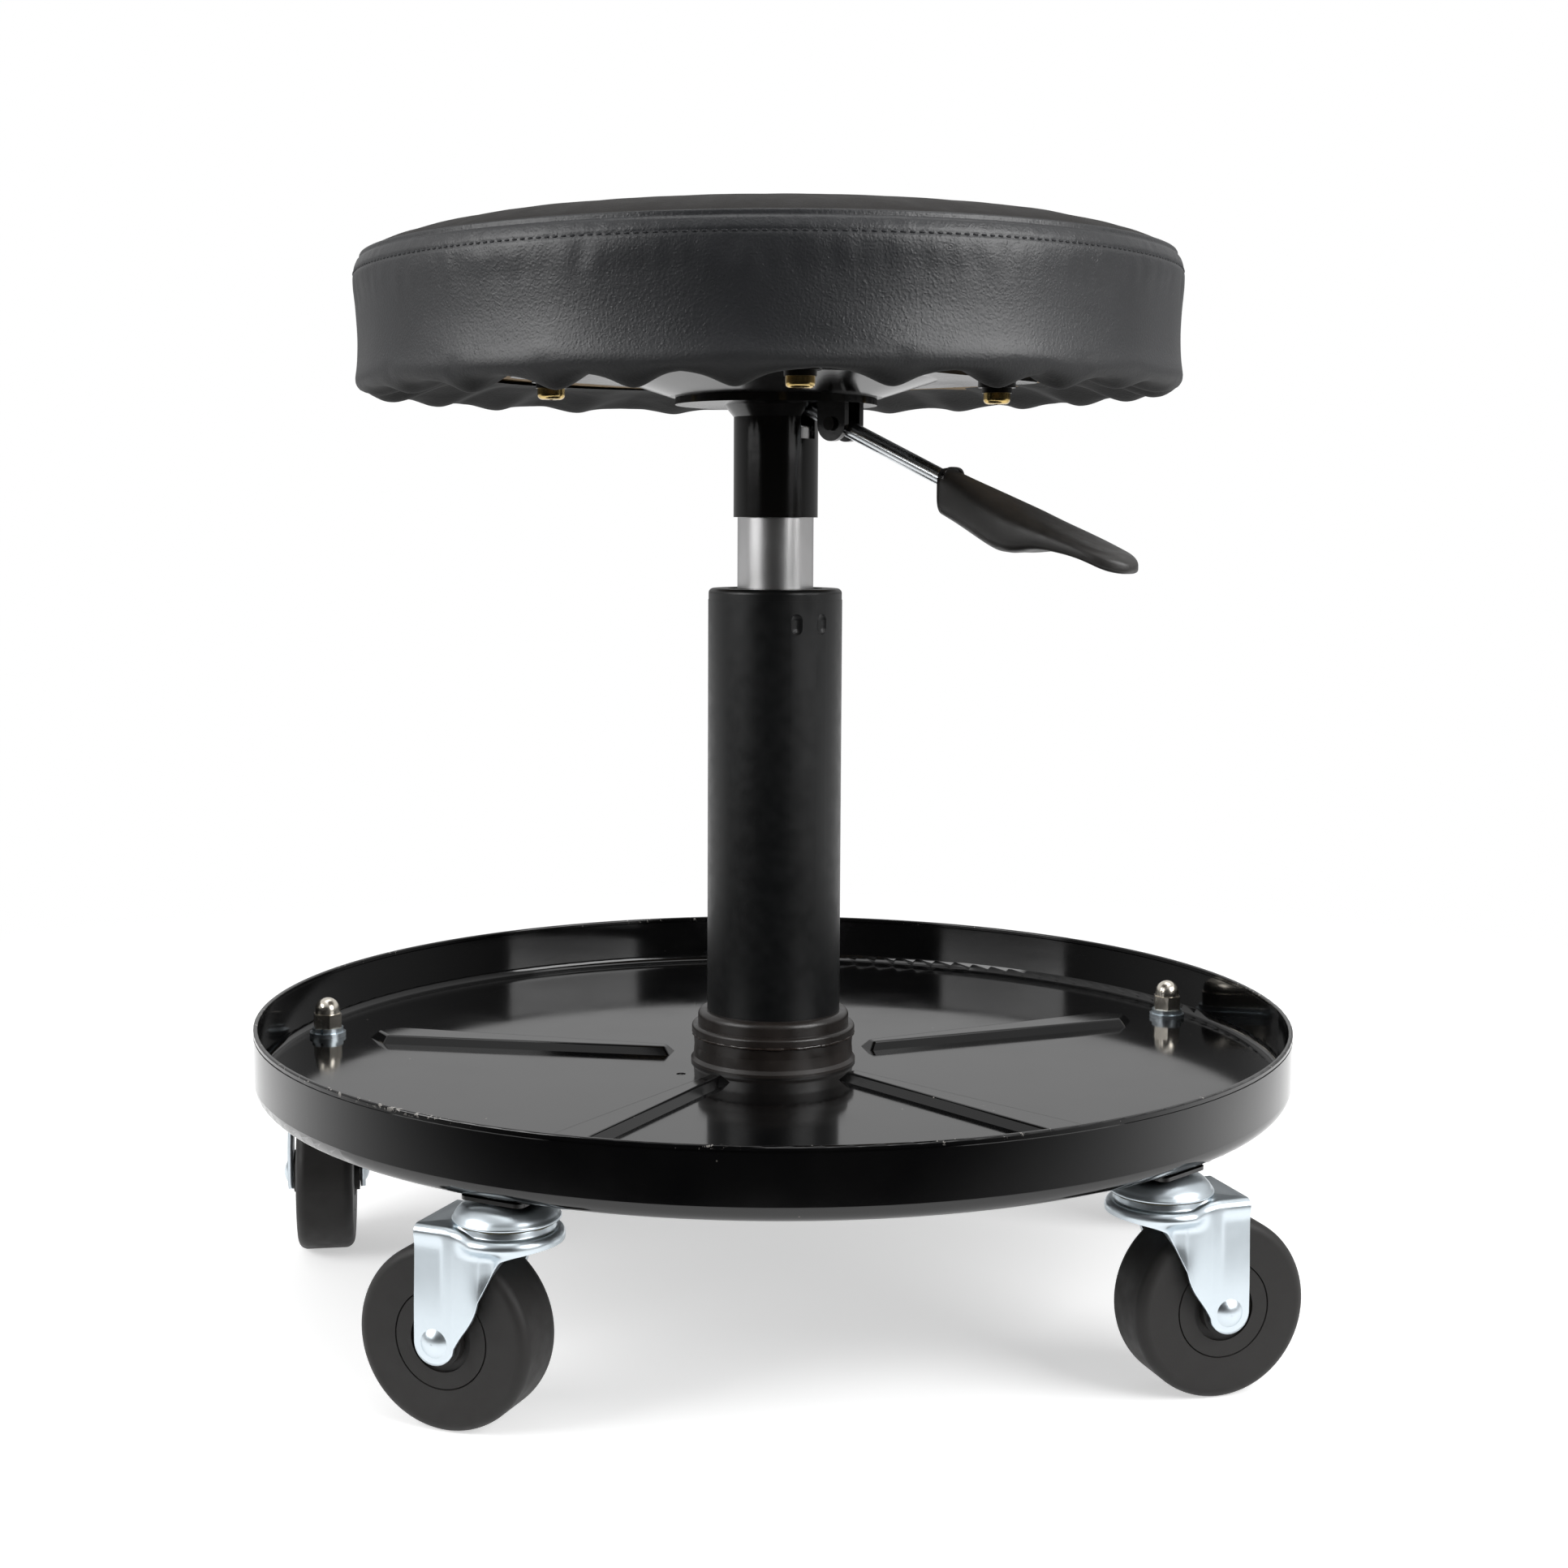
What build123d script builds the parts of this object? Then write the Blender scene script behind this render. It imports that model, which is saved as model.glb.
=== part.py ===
from build123d import *
import os
from math import acos, atan, atan2, cos, degrees, hypot, pi, radians, sin, sqrt, tan

os.makedirs("parts", exist_ok=True)

# Working values that many pieces share
cut_overrun = 1.0
running_clearance = 0.05
fixed_clearance = 0.02
thread_clearance = 0.05
bolt_hole_clearance = 0.25
body_gap = 0.2
soft_clearance = 0.1
full_turn = 360

# Casters: five, on one circle under the tray, each trailing its own way
# The two front stems stand a little off the even spacing
caster_count = 5
first_caster_angle = 26.0
stem_angle_offsets = [0.0, 0.0, 0.0, 2.0, 1.5]
caster_headings = [260.0, 200.0, 280.0, 159.5, 18.5]
wheel_radius = 29.5
wheel_width = 21.0
wheel_corner_radius = 3.5
wheel_seam_radius = 15.7
wheel_seam_width = 0.5
wheel_recess_radius = 10.3
wheel_recess_depth = 1.0
wheel_hub_radius = 8.0
caster_trail = 17.5
fork_sheet = 2.0
fork_inner_width = 25.0
leg_end_radius = 6.8
leg_back_reach = 6.0
leg_back_drop = 2.0
leg_rib_height = 0.8
leg_rib_top_width = 12.7
leg_rib_foot_width = 3.4
leg_rib_top_drop = 4.0
leg_rib_foot_rise = 8.5
leg_rib_front_inset = 9.7
leg_rib_taper_angle = 35.0
wheel_top_gap = 4.9
crown_radius = 17.7
crown_edge_radius = 1.4
fork_bend_radius = 4.0
crown_ring_inner_radius = 10.0
crown_ring_rise = 1.6
crown_ring_edge_radius = 1.1
caster_seam_gap = 1.4
caster_ball_radius = 1.9
caster_ball_circle_radius = 12.5
caster_ball_count = 8
groove_clearance = 0.03
cup_height = 4.5
cup_rim_radius = 16.1
cup_rim_height = 1.5
cup_lip_width = 1.7
cup_lip_depth = 1.0
cup_neck_radius = 8.6
cup_neck_height = 0.6
stem_shaft_radius = 4.0
stem_head_radius = 6.5
stem_head_height = 2.1
stem_thread_radius = 3.0
axle_radius = 3.0
axle_head_radius = 4.5
axle_head_height = 1.6
axle_bush_radius = 5.0

# Reinforcement plates between the casters and the tray
plate_side = 22.5
plate_sheet = 1.2
plate_edge_inset = 3.0
plate_corner_radius = 2.5
plate_pad_gap = 0.4

# Tray
tray_radius = 190.0
tray_sheet = 1.2
tray_depth = 20.4
tray_foot_drop = 2.2
tray_foot_width = 7.0
tray_edge_radius = 5.5
tray_inner_corner_radius = 3.2
rim_bead_height = 1.5
rim_bead_width = 1.7
rim_bead_edge_radius = 0.6
rim_groove_height = 0.6
rim_groove_depth = 0.35
rib_socket_distance = 8.25
rib_edge_distance = 30.0
rib_inner_width = 9.0
rib_outer_width = 19.0
rib_point_length = 9.0
rib_height = 3.0
rib_slope_width = 2.5
rib_edge_radius = 1.6
drain_hole_radius = 1.75
drain_hole_circle_radius = 41.4
drain_hole_angle = 217.1
stem_edge_distance = 12.5

# Fasteners on the tray floor
flat_washer_radius = 7.0
flat_washer_thickness = 1.6
spring_washer_radius = 6.0
spring_washer_thickness = 1.8
washer_split_width = 1.0
nut_across_flats = 10.0
nut_hex_height = 5.4
nut_dome_radius = 4.7
nut_dome_rise = 1.5
nut_roof_thickness = 2.0

# Post socket welded through the tray
socket_hang = 19.4
socket_sleeve_radius = 27.5
socket_lip_radius = 22.0
socket_lip_thickness = 1.4
weld_bead_radius = 30.75
weld_bead_height = 1.0
weld_slope_height = 1.3
socket_body_radius = 29.8
socket_waist_radius = 29.5
socket_body_height = 10.2
socket_ring_radius = 30.45
socket_ring_height = 3.4
socket_ring_step = 0.5
socket_ring_edge_radius = 1.2
socket_top_radius = 28.15
socket_top_height = 5.4
socket_top_edge_radius = 2.3

# Outer tube of the column and what it holds at its foot
tube_radius = 24.75
tube_wall = 1.5
tube_length = 190.3
tube_base_thickness = 3.0
dent_height = 7.5
dent_depth = 0.8
dent_curve_radius = 3.6
dent_drop = 8.3
dent_angles = [289.8, 314.3, 109.8, 134.3]
race_thickness = 2.2
race_radius = 13.0
race_gap = 2.6
bearing_ball_radius = 1.98
bearing_ball_circle_radius = 9.0
bearing_ball_count = 12

# Guide bush and wiper seal at the top of the tube
bush_flange_radius = 24.6
bush_flange_height = 4.2
bush_flange_edge_radius = 1.8
bush_length = 80.3
seal_radius = 17.5
seal_height = 3.0
seal_bevel_height = 1.0

# Gas lift: rod and piston stand in the tube, the cylinder slides on them
rod_radius = 5.0
rod_foot_radius = 4.0
rod_foot_drop = 5.0
rod_length = 152.0
rod_rivet_height = 2.0
rod_rivet_radius = 5.5
piston_height = 14.0
bump_stop_height = 5.8
bump_stop_radius = 11.0
bump_stop_edge_radius = 1.5
rod_washer_radius = 8.0
rod_washer_thickness = 1.5
rod_clip_radius = 6.5
rod_clip_thickness = 1.4
rod_clip_groove_radius = 3.2
end_float = 0.1
cylinder_radius = 14.0
cylinder_bore_radius = 12.0
chrome_length = 26.0
cylinder_head_thickness = 6.0
cylinder_edge_radius = 1.0
rod_guide_height = 16.0
valve_body_height = 18.0
valve_body_skirt = 2.0
valve_button_radius = 4.0
valve_button_depth = 18.0
valve_button_proud = 7.4
valve_button_edge_radius = 1.6

# Seat tube, lever bracket and seat plate, welded to each other
seat_tube_radius = 15.5
seat_tube_grip = 33.5
head_space = 7.3
weld_flare_radius = 19.0
weld_flare_height = 4.3
lever_azimuth = -38.3
tube_slot_width = 8.0
tube_slot_depth = 12.3
bracket_disc_radius = 37.0
bracket_sheet = 2.9
bracket_hole_radius = 12.0
bracket_slot_reach = 33.0
bracket_slot_width = 7.0
lug_radius = 6.2
lug_sheet = 2.3
lug_side_gap = 0.2
seat_plate_side = 144.0
seat_plate_sheet = 2.5
seat_plate_corner_radius = 12.0
dish_top_radius = 59.0
dish_floor_radius = 39.0
dish_depth = 6.3
seat_plate_hole_radius = 18.0

# Release lever
pin_reach = 29.8
pin_drop = 7.5
pin_radius = 1.5
pin_head_radius = 2.4
pin_head_height = 1.2
pin_tail = 0.8
lever_slope = 23.6
lever_rod_radius = 3.0
lever_tip_reach = 2.0
lever_rod_length = 120.0
grip_start_reach = 74.8
grip_length = 76.7
grip_width = 28.0
grip_height = 33.4
grip_start_drop = 8.4
grip_edge_radius = 1.2

# Seat board, its fasteners, and the cushion
board_edge_distance = 13.8
board_thickness = 12.0
board_edge_radius = 1.0
seat_bolt_circle_radius = 82.0
first_seat_bolt_angle = 6.7
seat_bolt_count = 4
seat_bolt_radius = 3.0
seat_bolt_head_radius = 5.0
seat_bolt_head_height = 4.0
seat_bolt_head_edge_radius = 1.8
cross_recess_length = 5.6
cross_recess_width = 1.1
cross_recess_depth = 2.0
seat_spring_washer_radius = 5.5
seat_spring_washer_thickness = 2.0
seat_flat_washer_radius = 7.0
seat_flat_washer_thickness = 1.9
tee_nut_flange_radius = 9.5
tee_nut_flange_thickness = 1.2
tee_nut_barrel_radius = 4.2
tee_nut_barrel_length = 9.0
seat_radius = 149.8
seat_height = 53.9
crown_fall = 18.0
crown_dip = 8.08
seat_waist_depth = 1.1
seat_roll_depth = 11.0
seat_roll_width = 31.8
seat_cover_sheet = 1.0
seat_hem_width = 8.0

# Heights, stacked from the floor up
axle_z = wheel_radius
crown_under_z = 2 * wheel_radius + wheel_top_gap
crown_top_z = crown_under_z + fork_sheet
crown_ring_z = crown_top_z + crown_ring_rise
cup_rim_z = crown_ring_z + caster_seam_gap
cup_inner_z = cup_rim_z + cup_lip_depth
caster_ball_z = (crown_ring_z + cup_inner_z) / 2 + groove_clearance
caster_top_z = cup_rim_z + cup_height
foot_z = caster_top_z + plate_sheet
floor_under_z = foot_z + tray_foot_drop
floor_z = floor_under_z + tray_sheet
rim_z = floor_z + tray_depth
spring_washer_z = floor_z + flat_washer_thickness
nut_z = spring_washer_z + spring_washer_thickness
socket_bottom_z = floor_z - socket_hang
tube_bottom_z = socket_bottom_z + socket_lip_thickness
tube_top_z = tube_bottom_z + tube_length
tube_base_z = tube_bottom_z + tube_base_thickness
lower_race_z = tube_base_z + race_thickness
bearing_ball_z = lower_race_z + race_gap / 2
upper_race_z = lower_race_z + race_gap
rod_shoulder_z = upper_race_z + race_thickness
bump_stop_z = rod_shoulder_z + bump_stop_height
cylinder_bottom_z = bump_stop_z + body_gap
bush_top_z = tube_top_z + bush_flange_height
seat_tube_bottom_z = bush_top_z + chrome_length
cylinder_top_z = seat_tube_bottom_z + seat_tube_grip
cylinder_head_z = cylinder_top_z - cylinder_head_thickness
bracket_under_z = cylinder_top_z + head_space
dish_under_z = bracket_under_z + bracket_sheet
seat_plate_z = dish_under_z + dish_depth
board_z = seat_plate_z + seat_plate_sheet
board_top_z = board_z + board_thickness
seat_top_z = board_z + seat_height
pin_z = bracket_under_z - pin_drop

# Radii and widths that follow from the sizes above
fork_outer_width = fork_inner_width + 2 * fork_sheet
crown_reach = caster_trail + leg_end_radius
foot_inner_radius = tray_radius - tray_foot_width
caster_circle_radius = tray_radius - stem_edge_distance
board_radius = seat_radius - board_edge_distance
seat_roll_inner_radius = seat_radius - seat_roll_width
rib_inner_radius = weld_bead_radius + rib_socket_distance
rib_outer_radius = tray_radius - rib_edge_distance
tube_bore_radius = tube_radius - tube_wall
socket_bore_radius = tube_radius + running_clearance
caster_bolt_hole_radius = stem_thread_radius + bolt_hole_clearance

rib_angles = [
    first_caster_angle + number * full_turn / caster_count for number in range(caster_count)
]
caster_angles = [angle + offset for angle, offset in zip(rib_angles, stem_angle_offsets)]
caster_names = ["right", "back", "left", "front_left", "front_right"]


def caster_plane(number):
    """Plane on the floor under one swivel, its X axis pointing from the swivel to the axle."""
    angle = radians(caster_angles[number])
    heading = radians(caster_headings[number])
    return Plane(
        origin=(caster_circle_radius * cos(angle), caster_circle_radius * sin(angle), 0),
        x_dir=(cos(heading), sin(heading), 0),
        z_dir=(0, 0, 1),
    )


def spoke_plane(angle_deg, height=0):
    """Level plane at a height, with its X axis pointing outward at an angle about the column."""
    angle = radians(angle_deg)
    return Plane(origin=(0, 0, height), x_dir=(cos(angle), sin(angle), 0), z_dir=(0, 0, 1))


def upright_plane(angle_deg):
    """Upright plane through the column's axis: its X axis points outward, its Y axis up."""
    angle = radians(angle_deg)
    return Plane(
        origin=(0, 0, 0),
        x_dir=(cos(angle), sin(angle), 0),
        z_dir=(sin(angle), -cos(angle), 0),
    )


def stem_places(reach):
    """Places at a reach from the column's axis on each stem's spoke, turned with the spoke."""
    return [spoke_plane(angle).location * Location((reach, 0, 0)) for angle in caster_angles]


caster_locations = [caster_plane(number).location for number in range(caster_count)]


def finish(piece, label):
    """Name a finished piece and write its STEP file."""
    piece.label = label
    export_step(piece, f"parts/{label}.step")


# Tray: a turned pan with a folded foot ring, a beaded rim and five pressed ribs
groove_top_z = rim_z - rim_bead_height
groove_bottom_z = groove_top_z - rim_groove_height
groove_radius = tray_radius - rim_groove_depth
wall_inner_radius = tray_radius - tray_sheet
bead_inner_radius = tray_radius - rim_bead_width


rib_taper = degrees(atan(rib_slope_width / rib_height))
with BuildPart() as tray_rib:
    with BuildSketch():
        with BuildLine():
            Polyline(
                (rib_inner_radius, -rib_inner_width / 2),
                (rib_outer_radius - rib_point_length, -rib_outer_width / 2),
                (rib_outer_radius, 0),
                (rib_outer_radius - rib_point_length, rib_outer_width / 2),
                (rib_inner_radius, rib_inner_width / 2),
                close=True,
            )
        make_face()
    extrude(amount=rib_height, taper=rib_taper)
    fillet(tray_rib.edges().filter_by(lambda edge: edge.center().Z > 0), rib_edge_radius)


with BuildPart() as tray:
    with BuildSketch(Plane.XZ) as tray_section:
        with BuildLine():
            Polyline(
                (0, floor_under_z),
                (foot_inner_radius, floor_under_z),
                (foot_inner_radius, foot_z),
                (tray_radius, foot_z),
                (tray_radius, groove_bottom_z),
                (groove_radius, groove_bottom_z),
                (groove_radius, groove_top_z),
                (tray_radius, groove_top_z),
                (tray_radius, rim_z),
                (bead_inner_radius, rim_z),
                (bead_inner_radius, groove_top_z),
                (wall_inner_radius, groove_bottom_z),
                (wall_inner_radius, floor_z),
                (0, floor_z),
                close=True,
            )
        make_face()
        fillet(
            tray_section.vertices().sort_by_distance((tray_radius, foot_z))[0],
            radius=tray_edge_radius,
        )
        fillet(
            tray_section.vertices().sort_by_distance((wall_inner_radius, floor_z))[0],
            radius=tray_inner_corner_radius,
        )
        fillet(
            tray_section.vertices().group_by(Axis.Y)[-1],
            radius=rim_bead_edge_radius,
        )
    revolve(axis=Axis.Z)
    with Locations(*[spoke_plane(angle, floor_z) for angle in rib_angles]):
        add(tray_rib.part)
    with Locations(*[spoke_plane(angle, floor_under_z) for angle in rib_angles]):
        add(tray_rib.part, mode=Mode.SUBTRACT)
    with BuildSketch(Plane.XY.offset(floor_under_z)):
        Circle(socket_sleeve_radius + fixed_clearance)
        with Locations(*stem_places(caster_circle_radius)):
            Circle(caster_bolt_hole_radius)
        with PolarLocations(drain_hole_circle_radius, 1, start_angle=drain_hole_angle):
            Circle(drain_hole_radius)
    extrude(amount=tray_sheet, mode=Mode.SUBTRACT)
finish(tray.part, "tray")

# Post socket: a sleeve through the tray floor, with a weld bead and two pressed rings above it
weld_top_z = floor_z + weld_bead_height
socket_body_z = weld_top_z + weld_slope_height
socket_body_top_z = floor_z + socket_body_height
socket_ring_z = socket_body_top_z + socket_ring_step
socket_ring_top_z = socket_ring_z + socket_ring_height
socket_top_z = socket_ring_top_z + socket_top_height
with BuildPart() as post_socket:
    with BuildSketch(Plane.XZ) as socket_section:
        with BuildLine():
            Polyline(
                (socket_lip_radius, socket_bottom_z),
                (socket_sleeve_radius, socket_bottom_z),
                (socket_sleeve_radius, floor_z),
                (weld_bead_radius, floor_z),
                (weld_bead_radius, weld_top_z),
                (socket_body_radius, socket_body_z),
                (socket_waist_radius, (socket_body_z + socket_body_top_z) / 2),
                (socket_body_radius, socket_body_top_z),
                (socket_ring_radius, socket_ring_z),
                (socket_ring_radius, socket_ring_top_z),
                (socket_top_radius, socket_ring_top_z),
                (socket_top_radius, socket_top_z),
                (socket_bore_radius, socket_top_z),
                (socket_bore_radius, tube_bottom_z),
                (socket_lip_radius, tube_bottom_z),
                close=True,
            )
        make_face()
        fillet(
            socket_section.vertices().sort_by_distance((socket_ring_radius, socket_ring_z))[0],
            radius=socket_ring_edge_radius,
        )
        fillet(
            socket_section.vertices().sort_by_distance((socket_ring_radius, socket_ring_top_z))[0],
            radius=socket_ring_edge_radius,
        )
        fillet(
            socket_section.vertices().sort_by_distance((socket_top_radius, socket_top_z))[0],
            radius=socket_top_edge_radius,
        )
    revolve(axis=Axis.Z)
finish(post_socket.part, "post_socket")

# Outer tube of the column, dented into its guide bush in four places
dent_z = tube_top_z - dent_drop
dent_circle_radius = tube_radius - dent_depth + dent_curve_radius
dent_straight = dent_height - 2 * sqrt(dent_depth * (2 * dent_curve_radius - dent_depth))
with BuildPart() as outer_tube:
    with BuildSketch(Plane.XY.offset(tube_bottom_z)):
        Circle(tube_radius)
        Circle(tube_bore_radius, mode=Mode.SUBTRACT)
    extrude(amount=tube_length)
    for angle in dent_angles:
        with Locations(spoke_plane(angle, dent_z)):
            with Locations((dent_circle_radius, 0, 0)):
                Cylinder(dent_curve_radius, dent_straight, mode=Mode.SUBTRACT)
                with Locations((0, 0, dent_straight / 2), (0, 0, -dent_straight / 2)):
                    Sphere(dent_curve_radius, mode=Mode.SUBTRACT)
finish(outer_tube.part, "outer_tube")

# Tube base: the plate inside the tube's foot that carries the thrust bearing
with BuildPart() as tube_base:
    with BuildSketch(Plane.XY.offset(tube_bottom_z)):
        Circle(tube_bore_radius - fixed_clearance)
        Circle(rod_foot_radius + running_clearance, mode=Mode.SUBTRACT)
    extrude(amount=tube_base_thickness)
finish(tube_base.part, "tube_base")

# Thrust bearing under the lift rod: a still race, a ring of balls and a turning race
bearing_groove_radius = bearing_ball_radius + groove_clearance
with BuildPart() as race_lower:
    with BuildSketch(Plane.XY.offset(tube_base_z)):
        Circle(race_radius)
        Circle(rod_foot_radius + running_clearance, mode=Mode.SUBTRACT)
    extrude(amount=race_thickness)
    with Locations((0, 0, bearing_ball_z)):
        Torus(bearing_ball_circle_radius, bearing_groove_radius, mode=Mode.SUBTRACT)
finish(race_lower.part, "race_lower")

with BuildPart() as bearing_balls:
    with Locations((0, 0, bearing_ball_z)):
        with PolarLocations(bearing_ball_circle_radius, bearing_ball_count):
            Sphere(bearing_ball_radius)
finish(bearing_balls.part, "bearing_balls")

with BuildPart() as race_upper:
    with BuildSketch(Plane.XY.offset(upper_race_z)):
        Circle(race_radius)
        Circle(rod_foot_radius + fixed_clearance, mode=Mode.SUBTRACT)
    extrude(amount=race_thickness)
    with Locations((0, 0, bearing_ball_z)):
        Torus(bearing_ball_circle_radius, bearing_groove_radius, mode=Mode.SUBTRACT)
finish(race_upper.part, "race_upper")

# Guide bush: a plastic sleeve inside the tube with a flange on top
bush_bore_radius = cylinder_radius + running_clearance
seal_seat_z = bush_top_z - seal_height
with BuildPart() as guide_bush:
    with BuildSketch(Plane.XZ) as bush_section:
        with BuildLine():
            Polyline(
                (bush_bore_radius, tube_top_z - bush_length),
                (tube_bore_radius - fixed_clearance, tube_top_z - bush_length),
                (tube_bore_radius - fixed_clearance, tube_top_z),
                (bush_flange_radius, tube_top_z),
                (bush_flange_radius, bush_top_z),
                (seal_radius + fixed_clearance, bush_top_z),
                (seal_radius + fixed_clearance, seal_seat_z),
                (bush_bore_radius, seal_seat_z),
                close=True,
            )
        make_face()
        fillet(
            bush_section.vertices().sort_by_distance((bush_flange_radius, bush_top_z))[0],
            radius=bush_flange_edge_radius,
        )
    revolve(axis=Axis.Z)
finish(guide_bush.part, "guide_bush")

# Wiper seal: a rubber ring in the bush's recess that wipes the cylinder
with BuildPart() as wiper_seal:
    with BuildSketch(Plane.XZ):
        with BuildLine():
            Polyline(
                (bush_bore_radius, seal_seat_z),
                (seal_radius, seal_seat_z),
                (seal_radius, bush_top_z - seal_bevel_height),
                (bush_bore_radius, bush_top_z),
                close=True,
            )
        make_face()
    revolve(axis=Axis.Z)
finish(wiper_seal.part, "wiper_seal")

# Piston rod: stands in the tube base on its bearing and carries the piston
piston_z = rod_shoulder_z + rod_length
rod_top_z = piston_z + piston_height + rod_rivet_height
rod_clip_top_z = tube_bottom_z - end_float - rod_washer_thickness
rod_bottom_z = tube_bottom_z - rod_foot_drop
with BuildPart() as piston_rod:
    with BuildSketch(Plane.XZ):
        with BuildLine():
            Polyline(
                (0, rod_bottom_z),
                (rod_foot_radius, rod_bottom_z),
                (rod_foot_radius, rod_clip_top_z - rod_clip_thickness),
                (rod_clip_groove_radius, rod_clip_top_z - rod_clip_thickness),
                (rod_clip_groove_radius, rod_clip_top_z),
                (rod_foot_radius, rod_clip_top_z),
                (rod_foot_radius, rod_shoulder_z),
                (rod_radius, rod_shoulder_z),
                (rod_radius, piston_z),
                (rod_foot_radius, piston_z),
                (rod_foot_radius, piston_z + piston_height),
                (rod_rivet_radius, piston_z + piston_height),
                (rod_foot_radius, rod_top_z),
                (0, rod_top_z),
                close=True,
            )
        make_face()
    revolve(axis=Axis.Z)
finish(piston_rod.part, "piston_rod")

with BuildPart() as piston:
    with BuildSketch(Plane.XY.offset(piston_z)):
        Circle(cylinder_bore_radius - running_clearance)
        Circle(rod_foot_radius + fixed_clearance, mode=Mode.SUBTRACT)
    extrude(amount=piston_height)
finish(piston.part, "piston")

with BuildPart() as bump_stop:
    with BuildSketch(Plane.XY.offset(rod_shoulder_z)):
        Circle(bump_stop_radius)
        Circle(rod_radius + fixed_clearance, mode=Mode.SUBTRACT)
    extrude(amount=bump_stop_height)
    fillet(bump_stop.edges().group_by(Axis.Z)[-1].sort_by(SortBy.RADIUS)[-1], bump_stop_edge_radius)
finish(bump_stop.part, "bump_stop")

# Washer and spring clip that hold the rod down under the tube base
with BuildPart() as rod_washer:
    with BuildSketch(Plane.XY.offset(rod_clip_top_z)):
        Circle(rod_washer_radius)
        Circle(rod_foot_radius + fixed_clearance, mode=Mode.SUBTRACT)
    extrude(amount=rod_washer_thickness)
finish(rod_washer.part, "rod_washer")

with BuildPart() as rod_clip:
    with BuildSketch(Plane.XY.offset(rod_clip_top_z - rod_clip_thickness)):
        Circle(rod_clip_radius)
        Circle(rod_clip_groove_radius + fixed_clearance, mode=Mode.SUBTRACT)
        with Locations((0, -rod_clip_radius)):
            Rectangle(rod_clip_groove_radius, 2 * rod_clip_radius, mode=Mode.SUBTRACT)
    extrude(amount=rod_clip_thickness)
finish(rod_clip.part, "rod_clip")

# Lift cylinder: a chromed tube, closed at the top round the valve
valve_bore_radius = valve_button_radius + running_clearance
with BuildPart() as lift_cylinder:
    with BuildSketch(Plane.XZ) as cylinder_section:
        with BuildLine():
            Polyline(
                (cylinder_bore_radius, cylinder_bottom_z),
                (cylinder_radius, cylinder_bottom_z),
                (cylinder_radius, cylinder_top_z),
                (valve_bore_radius, cylinder_top_z),
                (valve_bore_radius, cylinder_head_z),
                (cylinder_bore_radius, cylinder_head_z),
                close=True,
            )
        make_face()
        fillet(
            cylinder_section.vertices().sort_by_distance((cylinder_radius, cylinder_top_z))[0],
            radius=cylinder_edge_radius,
        )
    revolve(axis=Axis.Z)
finish(lift_cylinder.part, "lift_cylinder")

with BuildPart() as rod_guide:
    with BuildSketch(Plane.XY.offset(cylinder_bottom_z)):
        Circle(cylinder_bore_radius - fixed_clearance)
        Circle(rod_radius + running_clearance, mode=Mode.SUBTRACT)
    extrude(amount=rod_guide_height)
finish(rod_guide.part, "rod_guide")

# Valve body inside the cylinder's head, with the release button through both
valve_body_z = cylinder_head_z - valve_body_height - valve_body_skirt
with BuildPart() as valve_body:
    with BuildSketch(Plane.XY.offset(valve_body_z)):
        Circle(cylinder_bore_radius - fixed_clearance)
    extrude(amount=valve_body_height + valve_body_skirt)
    with BuildSketch(Plane.XY.offset(valve_body_z + valve_body_skirt)):
        Circle(valve_bore_radius)
    extrude(amount=valve_body_height, mode=Mode.SUBTRACT)
finish(valve_body.part, "valve_body")

valve_button_z = cylinder_top_z - valve_button_depth
with BuildPart() as valve_button:
    with BuildSketch(Plane.XY.offset(valve_button_z)):
        Circle(valve_button_radius)
    extrude(amount=valve_button_depth + valve_button_proud)
    fillet(valve_button.edges().group_by(Axis.Z)[-1], valve_button_edge_radius)
finish(valve_button.part, "valve_button")

# Seat tube: a short sleeve over the cylinder's top, slotted for the lever and flared by its weld
lever_upright = upright_plane(lever_azimuth)
with BuildPart() as seat_tube:
    with BuildSketch(Plane.XZ):
        with BuildLine():
            Polyline(
                (cylinder_radius + fixed_clearance, seat_tube_bottom_z),
                (seat_tube_radius, seat_tube_bottom_z),
                (seat_tube_radius, bracket_under_z - weld_flare_height),
                (weld_flare_radius, bracket_under_z),
                (cylinder_radius + fixed_clearance, bracket_under_z),
                close=True,
            )
        make_face()
    revolve(axis=Axis.Z)
    with BuildSketch(spoke_plane(lever_azimuth, bracket_under_z - tube_slot_depth)):
        with Locations((weld_flare_radius / 2, 0)):
            Rectangle(weld_flare_radius + cut_overrun, tube_slot_width)
    extrude(amount=tube_slot_depth, mode=Mode.SUBTRACT)
finish(seat_tube.part, "seat_tube")

# Lever bracket: a disc with two lugs hanging from it that hold the lever's pin
lug_inner_gap = lever_rod_radius + lug_side_gap
with BuildPart() as lever_bracket:
    with BuildSketch(spoke_plane(lever_azimuth, bracket_under_z)):
        Circle(bracket_disc_radius)
        Circle(bracket_hole_radius, mode=Mode.SUBTRACT)
        with Locations((bracket_slot_reach / 2, 0)):
            Rectangle(bracket_slot_reach, bracket_slot_width, mode=Mode.SUBTRACT)
    extrude(amount=bracket_sheet)
    for side in (-1, 1):
        with BuildSketch(lever_upright.offset(side * (lug_inner_gap + lug_sheet / 2))):
            with Locations((pin_reach, pin_z)):
                Circle(lug_radius)
            with Locations((pin_reach, pin_z + (pin_drop + bracket_sheet / 2) / 2)):
                Rectangle(2 * lug_radius, pin_drop + bracket_sheet / 2)
            with Locations((pin_reach, pin_z)):
                Circle(pin_radius + fixed_clearance, mode=Mode.SUBTRACT)
        extrude(amount=lug_sheet / 2, both=True)
finish(lever_bracket.part, "lever_bracket")

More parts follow.
